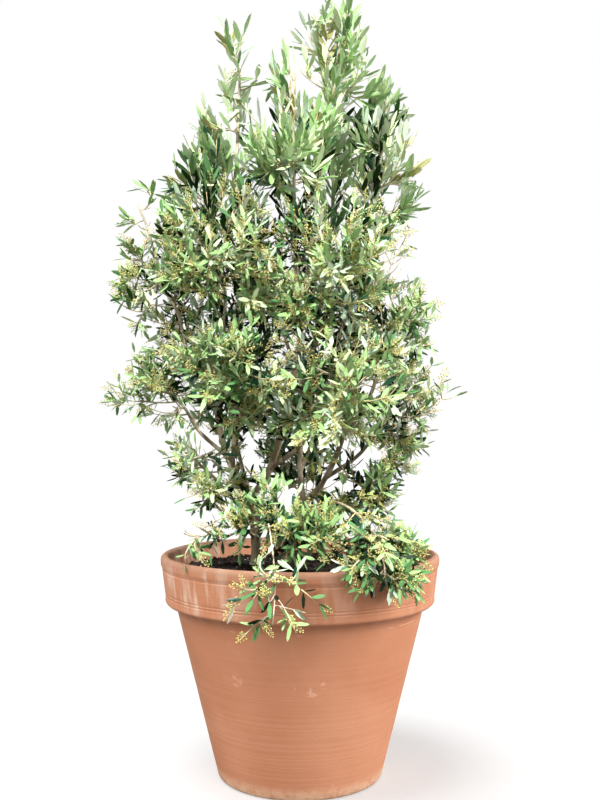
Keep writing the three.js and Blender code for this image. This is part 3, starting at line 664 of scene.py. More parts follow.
def terracotta():
    """Fired clay: turning lines, lime bloom on the band, painted shade on the lip's top, pale
    scuffs and a worn foot.
    """
    m = Nodes("terracotta", (171, 113, 85), 0.86, specular=0.25)
    height = m.along("Z")
    clouds = m.ramp(m.noise(0.14, detail=4), 0.3, 0.72)
    colour = m.blend(clouds, (166, 109, 78), (176, 121, 91))
    turning = m.noise(0.05, detail=3, stretch=(0.12, 0.12, 20))
    lined = m.product(m.ramp(turning, 0.4, 0.7, 0, 0.3), m.ramp(height, 0.26, 0.1, 0.35, 1))
    colour = m.blend(lined, colour, (190, 140, 111))
    grain = m.noise(0.0022, detail=2)
    colour = m.blend(m.ramp(grain, 0.35, 0.7, 0, 0.16), colour, (149, 95, 69))

    streaks = m.ramp(m.noise(0.02, detail=4, stretch=(1, 1, 0.14)), 0.42, 0.62)
    patches = m.ramp(m.noise(0.09, detail=2), 0.4, 0.6, 0.15, 1)
    on_band = m.ramp(height, 0.285, 0.33)
    on_left = m.ramp(m.along("X"), -0.06, -0.2, 0.3, 1)
    bloom = m.product(streaks, patches, on_band, on_left, 0.62)
    colour = m.blend(bloom, colour, (205, 182, 162))
    # Painted shade: the lip's rounded top is darkened to damp the highlight that the lights put on
    # it.
    lip = m.ramp(height, 0.374, 0.386, 0, 0.6)
    colour = m.blend(lip, colour, (142, 112, 92))

    ragged = m.noise(0.012, detail=6, rough=0.7)
    for place, size in SCUFFS:
        scuff = m.product(m.spot(place, size), m.ramp(ragged, 0.5, 0.58), 0.6)
        colour = m.blend(scuff, colour, (203, 160, 138))
    scratched = m.product(m.band(0.287, 0.0007), m.ramp(m.noise(0.05), 0.55, 0.6), 0.6)
    colour = m.blend(scratched, colour, (207, 172, 149))
    foot = m.ramp(height, 0.03, 0.003)
    chips = m.ramp(m.noise(0.014, detail=5, rough=0.65), 0.3, 0.62, 0.25, 1)
    colour = m.blend(m.product(foot, chips, 0.75), colour, (200, 169, 140))
    m.colour(colour)
    lines = m.bump(turning, 0.0004, 0.4)
    m.bump(grain, 0.0005, 0.45, before=lines)
    return m.material


def compost():
    """Damp dark compost."""
    m = Nodes("compost", (30, 23, 17), 0.95, specular=0.2)
    lumps = m.noise(0.006, detail=5, rough=0.7)
    m.colour(m.blend(m.ramp(lumps, 0.4, 0.75), (20, 15, 11), (62, 48, 36)))
    m.bump(lumps, 0.003, 0.8)
    return m.material


def perlite():
    m = Nodes("perlite", (196, 190, 178), 0.9, specular=0.2)
    m.bump(m.noise(0.001), 0.0004, 0.6)
    return m.material


def bark():
    """Smooth young olive bark: grey-brown, with pale and greenish patches."""
    m = Nodes("bark", (169, 156, 133), 0.82, specular=0.3)
    patches = m.noise(0.02, detail=4, stretch=(1, 1, 0.35))
    colour = m.blend(m.ramp(patches, 0.38, 0.66), (144, 126, 100), (217, 202, 174))
    green = m.noise(0.05, detail=2)
    colour = m.blend(m.ramp(green, 0.5, 0.7, 0, 0.35), colour, (154, 150, 105))
    fine = m.noise(0.0035, detail=4, stretch=(1, 1, 0.3))
    colour = m.blend(m.ramp(fine, 0.5, 0.72, 0, 0.5), colour, (105, 90, 70))
    m.colour(colour)
    m.bump(fine, 0.0012, 0.7)
    return m.material


def twig_bark():
    m = Nodes("twig_bark", (196, 182, 156), 0.7, specular=0.3)
    m.colour(m.blend(m.ramp(m.noise(0.02), 0.35, 0.65), (172, 156, 128), (224, 212, 188)))
    return m.material


def shoot_skin():
    return Nodes("shoot_skin", (198, 182, 138), 0.6, specular=0.3).material


def bud_skin():
    return Nodes("bud_skin", (200, 194, 112), 0.5, specular=0.3).material


def leaf_pair(kind):
    """The glossy top and the felted underside of a kind of leaf."""
    top, under, roughness = LEAVES[kind]
    upper = Nodes("leaf_" + kind, top, roughness, specular=0.18).material
    lower = Nodes("leaf_" + kind + "_underside", under, 0.75, specular=0.06).material
    return [upper, lower]


# ---------------------------------------------------------------- pot and soil

NECK_HEIGHT = POT_HEIGHT - BAND_HEIGHT
SHOULDER_TOP = NECK_HEIGHT + SHOULDER[1] * 0.75
SHOULDER_FOOT = NECK_HEIGHT - SHOULDER[1] * 0.25


def body_radius(z):
    return mix(FOOT_RADIUS, NECK_RADIUS, z / NECK_HEIGHT)


def wall_inside(z):
    return body_radius(z) - WALL


def rim_inside(z):
    """The inside of the wall between the shoulder and the lip."""
    share = (z - SHOULDER_TOP) / (POT_HEIGHT - WALL / 2 - SHOULDER_TOP)
    return mix(wall_inside(NECK_HEIGHT) + SHOULDER[0], LIP_RADIUS - WALL, share)


def band_radius(z):
    foot, top = NECK_HEIGHT + BAND_ROUND, POT_HEIGHT - LIP_HEIGHT
    return mix(BAND_FOOT_RADIUS, BAND_TOP_RADIUS, (z - foot) / (top - foot))


def pot_profile():
    """The pot's outline from the middle of its underside round to the middle of its floor."""
    lip_foot = POT_HEIGHT - LIP_HEIGHT
    roll = WALL / 2
    outline = [(FOOT_RADIUS - FOOT_BEVEL, 0), (FOOT_RADIUS - 1, 1.2)]
    outline += [(body_radius(z), z) for z in np.linspace(FOOT_BEVEL, NECK_HEIGHT - 9, 30)]
    outline += [(NECK_RADIUS + out, NECK_HEIGHT + up) for out, up in BAND_UNDERSIDE]
    edge_out, edge_up = BAND_EDGE
    edge_height = NECK_HEIGHT + BAND_UNDERSIDE[-1][1] + edge_up
    for turn in np.radians([-62, -40, -18, 0]):
        out = BAND_FOOT_RADIUS - edge_out + edge_out * math.cos(turn)
        outline.append((out, edge_height + edge_up * math.sin(turn)))
    for z in np.linspace(NECK_HEIGHT + 12, lip_foot - 1, 46):
        grooves = sum(math.exp(-((z - NECK_HEIGHT - groove) ** 2)) for groove in GROOVES)
        outline.append((band_radius(z) - GROOVE_DEPTH * grooves, z))
    outline += [(LIP_RADIUS + out, lip_foot + up) for out, up in LIP_UNDERSIDE]
    for turn in np.linspace(0, math.pi, 13):
        out = LIP_RADIUS - roll + roll * math.cos(turn)
        outline.append((out, POT_HEIGHT - roll + roll * math.sin(turn)))
    outline += [(rim_inside(z), z) for z in np.linspace(POT_HEIGHT - roll - 4, SHOULDER_TOP, 12)]
    outline += [
        (wall_inside(NECK_HEIGHT), SHOULDER_FOOT),
        (wall_inside(FLOOR_THICKNESS + FLOOR_FILLET[1]), FLOOR_THICKNESS + FLOOR_FILLET[1]),
        (wall_inside(FLOOR_THICKNESS) - FLOOR_FILLET[0], FLOOR_THICKNESS),
    ]
    return np.array(outline)


def make_pot():
    """A turned pot, a little uneven as hand-finished clay is, with its drain holes bored."""
    outline = pot_profile()
    points = [(0, 0, 0)]
    for radius, z in outline:
        for turn in np.arange(POT_SIDES) * 2 * math.pi / POT_SIDES:
            x, y = math.cos(turn), math.sin(turn)
            wave = abs(noise.noise(Vector((x * 1.5, y * 1.5, z * 0.03)))) * POT_UNEVENNESS
            out = radius - wave if radius > FOOT_RADIUS else radius
            points.append((x * out, y * out, z))
    points.append((0, 0, FLOOR_THICKNESS))
    pot = make_mesh("pot_clay", points, turned_faces(len(outline), POT_SIDES), terracotta())
    bore_drains(pot)
    return pot


def bore_drains(pot):
    for i in range(DRAIN_COUNT):
        turn = 2 * math.pi * i / DRAIN_COUNT
        place = (DRAIN_CIRCLE * MM * math.cos(turn), DRAIN_CIRCLE * MM * math.sin(turn), 0.01)
        bpy.ops.mesh.primitive_cylinder_add(
            vertices=24, radius=DRAIN_RADIUS * MM, depth=0.08, location=place
        )
        drill = bpy.context.object
        cut = pot.modifiers.new("drain", "BOOLEAN")
        cut.operation = "DIFFERENCE"
        cut.solver = "EXACT"
        cut.object = drill
        bpy.context.view_layer.objects.active = pot
        bpy.ops.object.modifier_apply(modifier=cut.name)
        bpy.data.objects.remove(drill)


SOIL_EDGE = rim_inside(SOIL_TOP - SOIL_DIP) - SOIL_GAP


def soil_height(x, y):
    """The crumbly top of the compost, sunk along the wall."""
    from_wall = SOIL_EDGE - math.hypot(x, y)
    dip = SOIL_DIP * max(0, 1 - from_wall / SOIL_DIP_WIDTH) ** 2
    lumps = noise.fractal(Vector((x, y, 0)) * 0.05, 0.9, 2.1, 4)
    return SOIL_TOP - dip - SOIL_RELIEF * 0.5 + SOIL_RELIEF * max(-1, min(1, lumps)) * 0.5


def make_soil():
    """The compost, from the top down: a lumpy top over the plain plug that fills the pot."""
    top = [(SOIL_EDGE * (i / SOIL_RINGS) ** 0.8, None) for i in range(1, SOIL_RINGS + 1)]
    plug = [
        (wall_inside(NECK_HEIGHT) + SHOULDER[0] - SOIL_GAP, SHOULDER_TOP),
        (wall_inside(NECK_HEIGHT) - SOIL_GAP, SHOULDER_FOOT),
        (wall_inside(FLOOR_THICKNESS + FLOOR_FILLET[1]) - SOIL_GAP,
         FLOOR_THICKNESS + FLOOR_FILLET[1] + GAP),
        (wall_inside(FLOOR_THICKNESS) - FLOOR_FILLET[0] - SOIL_GAP, FLOOR_THICKNESS + GAP),
    ]
    points = [(0, 0, soil_height(0, 0))]
    for radius, z in top + plug:
        stagger = 0.5 if z is None and radius % 2 > 1 else 0
        for turn in (np.arange(SOIL_SPOKES) + stagger) * 2 * math.pi / SOIL_SPOKES:
            x, y = radius * math.cos(turn), radius * math.sin(turn)
            points.append((x, y, soil_height(x, y) if z is None else z))
    points.append((0, 0, FLOOR_THICKNESS + GAP))
    downwards = turned_faces(len(top + plug), SOIL_SPOKES)[:, ::-1]
    return make_mesh("soil_top", points, downwards, compost())


ICO_TURN = (1 + math.sqrt(5)) / 2
ICOSAHEDRON = unit([
    (-1, ICO_TURN, 0), (1, ICO_TURN, 0), (-1, -ICO_TURN, 0), (1, -ICO_TURN, 0),
    (0, -1, ICO_TURN), (0, 1, ICO_TURN), (0, -1, -ICO_TURN), (0, 1, -ICO_TURN),
    (ICO_TURN, 0, -1), (ICO_TURN, 0, 1), (-ICO_TURN, 0, -1), (-ICO_TURN, 0, 1),
])
ICO_FACES = np.array([
    (0, 11, 5), (0, 5, 1), (0, 1, 7), (0, 7, 10), (0, 10, 11), (1, 5, 9), (5, 11, 4),
    (11, 10, 2), (10, 7, 6), (7, 1, 8), (3, 9, 4), (3, 4, 2), (3, 2, 6), (3, 6, 8), (3, 8, 9),
    (4, 9, 5), (2, 4, 11), (6, 2, 10), (8, 6, 7), (9, 8, 1),
])
OCTAHEDRON = np.array([
    (1, 0, 0), (0, 1, 0), (-1, 0, 0), (0, -1, 0), (0, 0, 1), (0, 0, -1),
], float)
OCTA_FACES = np.array([
    (0, 1, 4), (1, 2, 4), (2, 3, 4), (3, 0, 4), (1, 0, 5), (2, 1, 5), (3, 2, 5), (0, 3, 5),
])


def scatter(name, material, count, sizes, lift, seed):
    """Small uneven lumps strewn over the compost, lifted by a share of their size."""
    random = np.random.default_rng(seed)
    batch = Batch()
    for _ in range(count):
        out = SOIL_EDGE * STREWN_WIDTH * math.sqrt(random.random())
        turn = random.random() * 2 * math.pi
        size = mix(*sizes, random.random() ** 2.5)
        x, y = out * math.cos(turn), out * math.sin(turn)
        uneven = 1 + (random.random((len(ICOSAHEDRON), 1)) - 0.5) * STREWN_UNEVENNESS
        squash = np.array([1, mix(0.7, 1, random.random()), mix(0.5, 0.9, random.random())])
        lump = ICOSAHEDRON * uneven * squash * size
        batch.add(lump + (x, y, soil_height(x, y) + size * lift), ICO_FACES)
    return batch.make(name, [material], smooth=False)


# ---------------------------------------------------------------- limbs

def in_scale(mass, points):
    return (np.asarray(points) - mass["centre"]) / mass["half"]


def placed(mass, scaled):
    return np.asarray(scaled) * mass["half"] + mass["centre"]


def own_space(mass, points, reach, margin):
    """Which points are in reach of a mass and nearer to it than to any other, by a margin.

    Each distance is in the scale of the mass that it is measured from.
    """
    own = np.linalg.norm(in_scale(mass, points), axis=-1)
    inside = own <= reach
    for other in MASSES:
        if other is not mass:
            inside &= np.linalg.norm(in_scale(other, points), axis=-1) > own + margin
    return inside


def near_others(mass, points):
    """Which points are near a mass other than their own, and so not at the crown's outside."""
    near = np.zeros(len(points), bool)
    for other in MASSES:
        if other is not mass:
            near |= np.linalg.norm(in_scale(other, points), axis=-1) < NEAR
    return near


def off_pot(points, radius):
    """Which points are clear of the pot and the soil by a radius."""
    out = np.hypot(points[..., 0], points[..., 1])
    z = points[..., 2]
    inside = (out < wall_inside(NECK_HEIGHT) - radius) & (z > SOIL_TOP + radius)
    return (z > POT_HEIGHT + radius) | (out > LIP_RADIUS + radius) | inside


def off_limbs(points, radius, limbs):
    """Which points are clear of every limb by a radius."""
    clear = np.ones(len(points), bool)
    for limb in limbs:
        radii = limb.radius(np.linspace(0, 1, len(limb.coarse)))
        for a, b, thick in zip(limb.coarse, limb.coarse[1:], radii):
            share = np.clip((points - a) @ (b - a) / ((b - a) @ (b - a)), 0, 1)
            away = np.linalg.norm(points - a - share[:, None] * (b - a), axis=1)
            clear &= away > thick + radius
    return clear


def away_from_axis(point):
    """The level direction from the crown's axis to a point."""
    return unit(np.append(point[:2] - CROWN_AXIS, 0.0))


def outward(mass):
    return away_from_axis(np.array(mass["centre"], float))


def stem_ends(mass, comes_from):
    """Where a mass's stem starts and ends, in the mass's own scale."""
    habit = HABITS[mass["habit"]]
    end = unit(outward(mass) * habit["out"] + UP * habit["rise"]) * TWIG_REACH
    back = unit(in_scale(mass, comes_from))
    if mass["habit"] == "weep":
        back = unit(outward(mass) * -0.3 + UP)
    start, least, step = BOUGH_ENTRY
    while start > least and not own_space(mass, placed(mass, back * start), 1, ENTRY_MARGIN):
        start -= step
    return back * start, end


def slimmed(mass, radii):
    return tuple(radius * SLIM.get(mass["name"], 1) for radius in radii)


def make_trunk(row):
    foot = np.array([*row["foot"], SOIL_TOP - TRUNK_SUNK])
    fork = np.array(row["fork"], float)
    third = (fork[2] - foot[2]) / 3
    controls = [foot, foot + UP * third, fork - unit(fork - foot) * third, fork]
    return Limb(row["name"], controls, row["radius"], row["flare"])


def make_bough(mass, parent):
    start, heading = parent.point(mass["at"]), parent.direction(mass["at"])
    tip = placed(mass, stem_ends(mass, start)[0])
    length = np.linalg.norm(tip - start)
    straight = unit(tip - start)
    lift = unit(UP - straight * straight[2]) * mass["bow"] * length
    leaving = start + unit(straight + heading * BOUGH_LEAVING) * length / 3 + lift
    knee = np.array(KNEES.get(mass["name"], leaving), float)
    rising = HABITS[mass["habit"]]["rise"] * BOUGH_RISING
    arrival = tip - unit(straight + UP * rising) * length / 3 + lift
    radii = slimmed(mass, (mass["radius"], BOUGH_TIP_RADIUS))
    return Limb("bough_" + mass["name"], [start, knee, arrival, tip], radii)


def bark_mesh(limb, material, seed):
    """A limb with the relief of its bark: low ridges that run along it, knots and hollows."""
    steps = max(8, round(limb.length / BARK_STEP))
    shares = np.linspace(0, 1, steps + 1)
    path = curve_at(limb.controls, shares)
    rings = rings_along(path, limb.radius(shares), BARK_SIDES)
    for i, (centre, ring) in enumerate(zip(path, rings)):
        along = i * BARK_STEP
        swell = noise.noise(Vector((seed * 7.3, along * 0.045, 0)))
        for k in range(BARK_SIDES):
            turn = 2 * math.pi * k / BARK_SIDES
            place = (math.cos(turn) * 1.6, math.sin(turn) * 1.6, along * 0.05 + seed)
            relief = noise.fractal(Vector(place), 0.8, 2.2, 3) + swell * 0.8
            ring[k] = centre + (ring[k] - centre) * (1 + BARK_RELIEF * relief)
    faces = tube_faces(len(rings), BARK_SIDES)
    return make_mesh(limb.name + "_bark", rings.reshape(-1, 3), faces, material)


# ---------------------------------------------------------------- foliage

def make_stem(mass, bough):
    heading = bough.direction(1)
    foot = bough.point(1) + heading * GAP
    top = placed(mass, stem_ends(mass, bough.point(0))[1])
    bend = foot + heading * np.linalg.norm(top - foot) * STEM_BEND
    return Limb("stem", [foot, bend, top], slimmed(mass, STEM_RADIUS))


def make_twig(mass, stem, k):
    """Twigs aim at points spread evenly over the mass; the highest leaves the stem highest."""
    level = 1 - 2 * (k + 0.5) / mass["twigs"]
    ring = math.sqrt(1 - level * level)
    turn = k * GOLDEN_ANGLE + MASSES.index(mass)
    aim = np.array([ring * math.cos(turn), ring * math.sin(turn), level])
    order = k if mass["habit"] == "weep" else mass["twigs"] - 1 - k
    start = stem.point(mix(*TWIG_PLACES, order / (mass["twigs"] - 1)))
    tip = placed(mass, aim * TWIG_REACH)
    bend = (start + tip) / 2 + UP * HABITS[mass["habit"]]["bend"] * np.linalg.norm(tip - start)
    return Limb("twig", [start, bend, tip], slimmed(mass, TWIG_RADIUS))


def shoot_from(start, direction, length, lift):
    """A shoot: it leaves in a direction and bends towards the light."""
    bend = start + direction * length * 0.5
    tip = bend + unit(direction + UP * lift) * length * 0.5
    return Limb("shoot", [start, bend, tip], SHOOT_RADIUS)


def side_shoots(habit, axis, random, first=0.16):
    """Pairs of shoots along a stem or twig, turned a right angle from pair to pair."""
    shoots = []
    turned = random.random() * math.pi
    count = round(axis.length * (1 - first) / habit["shoot_spacing"])
    for i in range(count):
        share = mix(first, 0.97, (i + 0.3 * random.random()) / count)
        heading = axis.direction(share)
        side, other = frame_around(heading)
        for half in (0, math.pi):
            turn = turned + half + i * math.pi / 2 + (random.random() - 0.5) * 0.5
            splay = math.radians(mix(*habit["shoot_splay"], random.random()))
            away = side * math.cos(turn) + other * math.sin(turn)
            direction = unit(heading * math.cos(splay) + away * math.sin(splay)
                             + UP * habit["shoot_rise"] * 0.5)
            length = mix(*habit["shoot_length"], share) * mix(0.65, 1.15, random.random())
            shoots.append(shoot_from(axis.point(share), direction, length,
                                     habit["shoot_rise"] * 2))
    return shoots


def leaf_rows(habit, shoot, random, first=0.12):
    """Leaves in opposite pairs along a shoot, with a pair at its tip: one row of numbers each.

    A row is root, direction, normal, length, width, arch, fold and 1 for a young leaf.
    """
    rows = []
    turned = random.random() * math.pi
    upwards, outwards, at_random = LEAF_TURN
    light = UP * upwards + away_from_axis(shoot.controls[-1]) * outwards
    count = max(2, round(shoot.length * (1 - first) / habit["leaf_spacing"]))
    for i in range(count + 1):
        share = mix(first, 1, i / count)
        heading = shoot.direction(share)
        side, other = frame_around(heading)
        for half in (0, math.pi):
            if random.random() < LEAVES_SHED:
                continue
            tip = i == count
            turn = turned + half + i * math.pi / 2 + (random.random() - 0.5) * 0.6
            splay = math.radians(mix(*habit["leaf_splay"], random.random()) * (0.5 if tip else 1))
            away = side * math.cos(turn) + other * math.sin(turn)
            direction = unit(heading * math.cos(splay) + away * math.sin(splay))
            facing = heading * max(0.2, heading[2]) + light
            facing += (random.random(3) - 0.5) * at_random
            normal = unit(facing - direction * (facing @ direction))
            grown = 1 - abs(share - 0.45) * 0.7
            length = mix(*habit["leaf_length"][::-1], grown) * mix(0.8, 1.12, random.random())
            width = length * habit["leaf_width"] * mix(0.85, 1.15, random.random())
            arch = mix(-0.13, 0.1, random.random())
            fold = mix(-0.3, 0.35, random.random())
            root = shoot.point(share)
            rows.append([*root, *direction, *normal, length, width, arch, fold, i >= count - 1])
    return rows


def leaf_template():
    """A lance-shaped blade on a short stalk: a root, a ring of four points for each leaf section,
    and a tip.

    Each point is a share of the length, of the width, of the fold and of the thickness.
    """
    points = [(0, 0, 0, 0)]
    for along, half in LEAF_SECTIONS:
        thick = 0.35 + half
        points += [
            (along, -half, half, 0), (along, 0, 0, -thick), (along, half, half, 0),
            (along, 0, 0, thick),
        ]
    points.append((1, 0, 0, 0))
    faces, slots = [], []
    tip = len(points) - 1
    for k in range(4):
        after = (k + 1) % 4
        below = int(k < 2)
        faces.append((0, 1 + after, 1 + k))
        faces.append((tip, tip - 4 + k, tip - 4 + after))
        slots += [below, below]
        for i in range(len(LEAF_SECTIONS) - 1):
            a, b = 1 + i * 4 + k, 1 + i * 4 + after
            faces += [(a, b, b + 4), (a, b + 4, a + 4)]
            slots += [below, below]
    return np.array(points, float), np.array(faces), np.array(slots)


def leaves_mesh(name, rows, materials):
    """One mesh of many leaves, one to each row."""
    template, faces, slots = leaf_template()
    root, direction, normal = rows[:, 0:3], rows[:, 3:6], rows[:, 6:9]
    length, width, arch, fold = (rows[:, i, None, None] for i in range(9, 13))
    across = np.cross(direction, normal)[:, None]
    along, side, raised, thick = (template[None, :, i, None] for i in range(4))
    points = root[:, None] + direction[:, None] * length * along
    points = points + across * side * width
    lifted = arch * length * along**2 + fold * width * raised + thick * LEAF_THICKNESS
    points = points + normal[:, None] * lifted
    batch = Batch()
    batch.add_copies(points, faces, slots)
    made = batch.make(name, materials)
    each = len(template)
    on_rim = np.array([1] + [1, 0, 1, 0] * len(LEAF_SECTIONS) + [1], bool)
    sharpen(made, lambda a, b: on_rim[a % each] & on_rim[b % each])
    return made


def panicle_template():
    """A spray of flower buds, upright: buds in pairs on short stalks along a thin axis."""
    stalks, buds = Batch(), Batch()
    axis = np.array([(0, 0, 0), (0.6, 0, 0.5), (0.2, 0.4, 1.0)]) * (1, 1, PANICLE_LENGTH)
    stalks.add(rings_along(axis, PANICLE_RADII, 3).reshape(-1, 3), tube_faces(3, 3))
    random = np.random.default_rng(PANICLE_SEED)
    places = [axis[-1]]
    for i in range(PANICLE_NODES):
        share = 0.22 + 0.72 * i / PANICLE_NODES
        centre = UP * share * PANICLE_LENGTH
        reach = mix(*PANICLE_REACH, share)
        for half in (0, math.pi):
            turn = i * math.pi / 2 + half
            out = np.array([math.cos(turn), math.sin(turn), 0.5]) * reach
            stalk = rings_along(np.array([centre, centre + out]), (0.3, 0.2), 3)
            stalks.add(stalk.reshape(-1, 3), wall_faces(2, 3))
            places.append(centre + out)
            if i < PANICLE_NODES - 3:
                drift = (random.random(3) - 0.5) * 5.5
                places.append(centre + out * 0.62 + drift)
    for place in places:
        size = BUD_RADIUS * mix(0.85, 1.2, random.random())
        buds.add(OCTAHEDRON * size * (1, 1, 1.2) + place, OCTA_FACES)
    return stalks, buds


def panicles_mesh(name, batch, rows, material):
    """One shape of the panicles, the stalks or the buds, at all the panicles of some rows."""
    root, direction = rows[:, :3], unit(rows[:, 3:6])
    side = unit(np.cross(direction, np.array([0.31, 0.87, 0.38])))
    other = np.cross(direction, side)
    points, faces = np.vstack(batch.points), np.vstack(batch.faces)
    turned = sum(axis[:, None] * points[None, :, i, None]
                 for i, axis in enumerate((side, other, direction)))
    spread = root[:, None] + turned * rows[:, 6, None, None]
    whole = Batch()
    whole.add_copies(spread, faces)
    return whole.make(name, [material])


def make_panicles(rows):
    """All the panicles: their stalks and their buds, each cut into meshes of a fair size."""
    stalks, buds = panicle_template()
    made = []
    for name, batch, material in (
        ("bud_stalks", stalks, shoot_skin()), ("flower_buds", buds, bud_skin()),
    ):
        triangles = len(np.vstack(batch.faces)) * len(rows)
        parts = np.array_split(rows, math.ceil(triangles / PIECE_TRIANGLES))
        for number, part in enumerate(parts, 1):
            made.append(panicles_mesh(f"{name}_{number}", batch, part, material))
    return made


def in_opening(points):
    """Which points lie in an opening; the openings widen towards the back, as sight lines do."""
    away = 1 + points[..., 1] / EYE_DISTANCE
    x, z = points[..., 0] / away, EYE_HEIGHT + (points[..., 2] - EYE_HEIGHT) / away
    inside = np.zeros(points.shape[:-1], bool)
    for table, back in ((OPENINGS, math.inf), (WINDOWS, WINDOW_BACK)):
        for middle, height, half_width, half_height in table:
            off = ((x - middle) / half_width) ** 2 + ((z - height) / half_height) ** 2
            inside |= (off < 1) & (points[..., 1] < back)
    return inside


def make_spray(mass, axes, tip):
    """A lone spray from the nearest twig out to where its last leaves end."""
    tip = np.array(tip, float)
    axis = min(axes, key=lambda other: np.linalg.norm(other.point(0.8) - tip))
    start = axis.point(0.5)
    way = unit(tip - start)
    length = np.linalg.norm(tip - start)
    bend = start + unit(axis.direction(0.5) + way) * length * 0.5
    end = tip - way * HABITS[mass["habit"]]["leaf_length"][0] * 0.9
    return Limb("twig", [start, bend, end], SPRAY_RADIUS)


def shorter(shoots, share):
    """The same shoots, drawn in towards their roots."""
    made = []
    for shoot in shoots:
        root = shoot.controls[0]
        controls = [root + (point - root) * share for point in shoot.controls]
        made.append(Limb("shoot", controls, shoot.radii))
    return made


def bridges(mass):
    """Tips that close the notches between a mass and its later neighbours."""
    tips = []
    for other in MASSES[MASSES.index(mass) + 1:]:
        half = (np.array(mass["half"]) + other["half"]) / 2
        between = (np.array(mass["centre"]) + other["centre"]) / 2
        apart = np.linalg.norm((np.array(other["centre"]) - mass["centre"]) / half)
        if apart < BRIDGED:
            tips.append(between + away_from_axis(between) * half * BRIDGE_OUT)
    return tips


def habit_of(mass):
    """A mass's habit, with its side shoots as close as its fullness says."""
    habit = HABITS[mass["habit"]] | OWN_GROWTH.get(mass["name"], {})
    habit["shoot_spacing"] /= FULLNESS.get(mass["name"], 1)
    return habit


def sprays_of(mass, axes, random):
    """The lone sprays of a mass: those of the table, and some more at the front and the back."""
    tips = [*SPRAYS.get(mass["name"], ()), *bridges(mass)]
    way = outward(mass)
    if abs(way[1]) > 0.5:
        for _ in range(EXTRA_SPRAYS):
            aim = unit(way + (random.random(3) - 0.5) * 1.5)
            tips.append(placed(mass, aim * mix(1.15, 1.35, random.random())))
    return [make_spray(mass, axes, tip) for tip in tips]


def shoots_of(mass, bough, axes, random):
    """The side shoots of a mass's bough, stem and twigs, and one more at the tip of each twig."""
    habit = habit_of(mass)
    shoots = side_shoots(habit, bough, random, first=0.45)
    for axis in axes:
        shoots += side_shoots(habit, axis, random)
        length = mix(*habit["shoot_length"], 0.4) * mix(0.8, 1.2, random.random())
        shoots.append(shoot_from(axis.point(1), axis.direction(1), length, habit["shoot_rise"]))
    return shoots


def kept_shoots(mass, shoots, limbs, random):
    """The shoots that keep to their mass's space, thinned at the outside of the crown."""
    tips = np.array([shoot.coarse[-1] for shoot in shoots])
    middles = np.array([shoot.coarse[4] for shoot in shoots])
    keep = own_space(mass, tips, SHOOT_REACH, SHOOT_MARGIN) & off_pot(tips, LIMB_CLEARANCE)
    keep &= off_limbs(middles, LIMB_CLEARANCE, limbs) & off_pot(middles, LIMB_CLEARANCE)
    keep &= ~in_opening(middles) & ~in_opening(tips)
    past = np.linalg.norm(in_scale(mass, tips), axis=1) - THINNING[0]
    past[near_others(mass, tips)] = 0
    keep &= random.random(len(shoots)) > past * THINNING[1] / FULLNESS.get(mass["name"], 1)
    return [shoot for shoot, kept in zip(shoots, keep) if kept]


def kept_leaves(mass, rows, reach, limbs):
    """The leaves that keep to their mass's space, off the pot and the limbs."""
    ends = rows[:, 0:3] + rows[:, 3:6] * rows[:, 9:10]
    halfway = (rows[:, 0:3] + ends) / 2
    keep = own_space(mass, ends, reach, LEAF_MARGIN) & off_pot(ends, LIMB_CLEARANCE)
    keep &= off_limbs(halfway, LIMB_CLEARANCE, limbs) & off_pot(halfway, POT_CLEARANCE)
    return rows[keep & ~in_opening(halfway)]


def grow(limbs):
    """Grows every mass. Returns its twigs and shoots, its leaves by kind, and its panicles."""
    wood, leaves, panicles = [], {kind: [] for kind in LEAVES}, []
    for index, mass in enumerate(MASSES):
        random = np.random.default_rng(index + 1)
        habit = habit_of(mass)
        bough = next(limb for limb in limbs if limb.name == "bough_" + mass["name"])
        stem = make_stem(mass, bough)
        axes = [stem] + [make_twig(mass, stem, k) for k in range(mass["twigs"])]
        sprays = sprays_of(mass, axes, random)
        shoots = kept_shoots(mass, shoots_of(mass, bough, axes, random), limbs, random)
        lone = []
        for spray in sprays:
            lone += shorter(side_shoots(habit, spray, random, first=0.25), SPRAY_SHOOT_SHARE)
            lone.append(spray)
        wood += axes + shoots + lone
        outer_mix = next(shares for height, shares in MIXES if mass["centre"][2] > height)
        inner_mix = INNER_PAINTED_SHADE_MIX if mass["centre"][2] < INNER_TOP else outer_mix
        for shoot in shoots + lone:
            # Painted shade: shoots inside the crown, below INNER_TOP, are dealt the dark mix.
            depth = in_scale(mass, shoot.coarse[4]) @ outward(mass)
            shares = inner_mix if depth < INNER_DEPTH and shoot not in lone else outer_mix
            kind = random.choice(list(shares), p=list(shares.values()))
            rows = np.array(leaf_rows(habit, shoot, random), float)
            reach = SPRAY_REACH if shoot in lone else LEAF_REACH
            rows = kept_leaves(mass, rows, reach, limbs)
            young = rows[:, 13] > 0
            leaves[kind].append(rows[~young])
            leaves[YOUNG_TIP.get(kind, kind)].append(rows[young])
            budding = rows[random.random(len(rows)) < PANICLE_SHARES[mass["habit"]]]
            for row in budding:
                direction = unit(row[3:6] + shoot.direction(0.5) * 1.2)
                panicles.append([*row[:3], *direction, mix(0.7, 1.1, random.random())])
    return wood, {kind: np.vstack(rows) for kind, rows in leaves.items()}, np.array(panicles)


def wood_mesh(name, limbs, sides, steps, material):
    batch = Batch()
    shares = np.linspace(0, 1, steps + 1)
    faces = tube_faces(steps + 1, sides)
    for limb in limbs:
        rings = rings_along(curve_at(limb.controls, shares), limb.radius(shares), sides)
        batch.add(rings.reshape(-1, 3), faces)
    return batch.make(name, [material])


# ---------------------------------------------------------------- studio

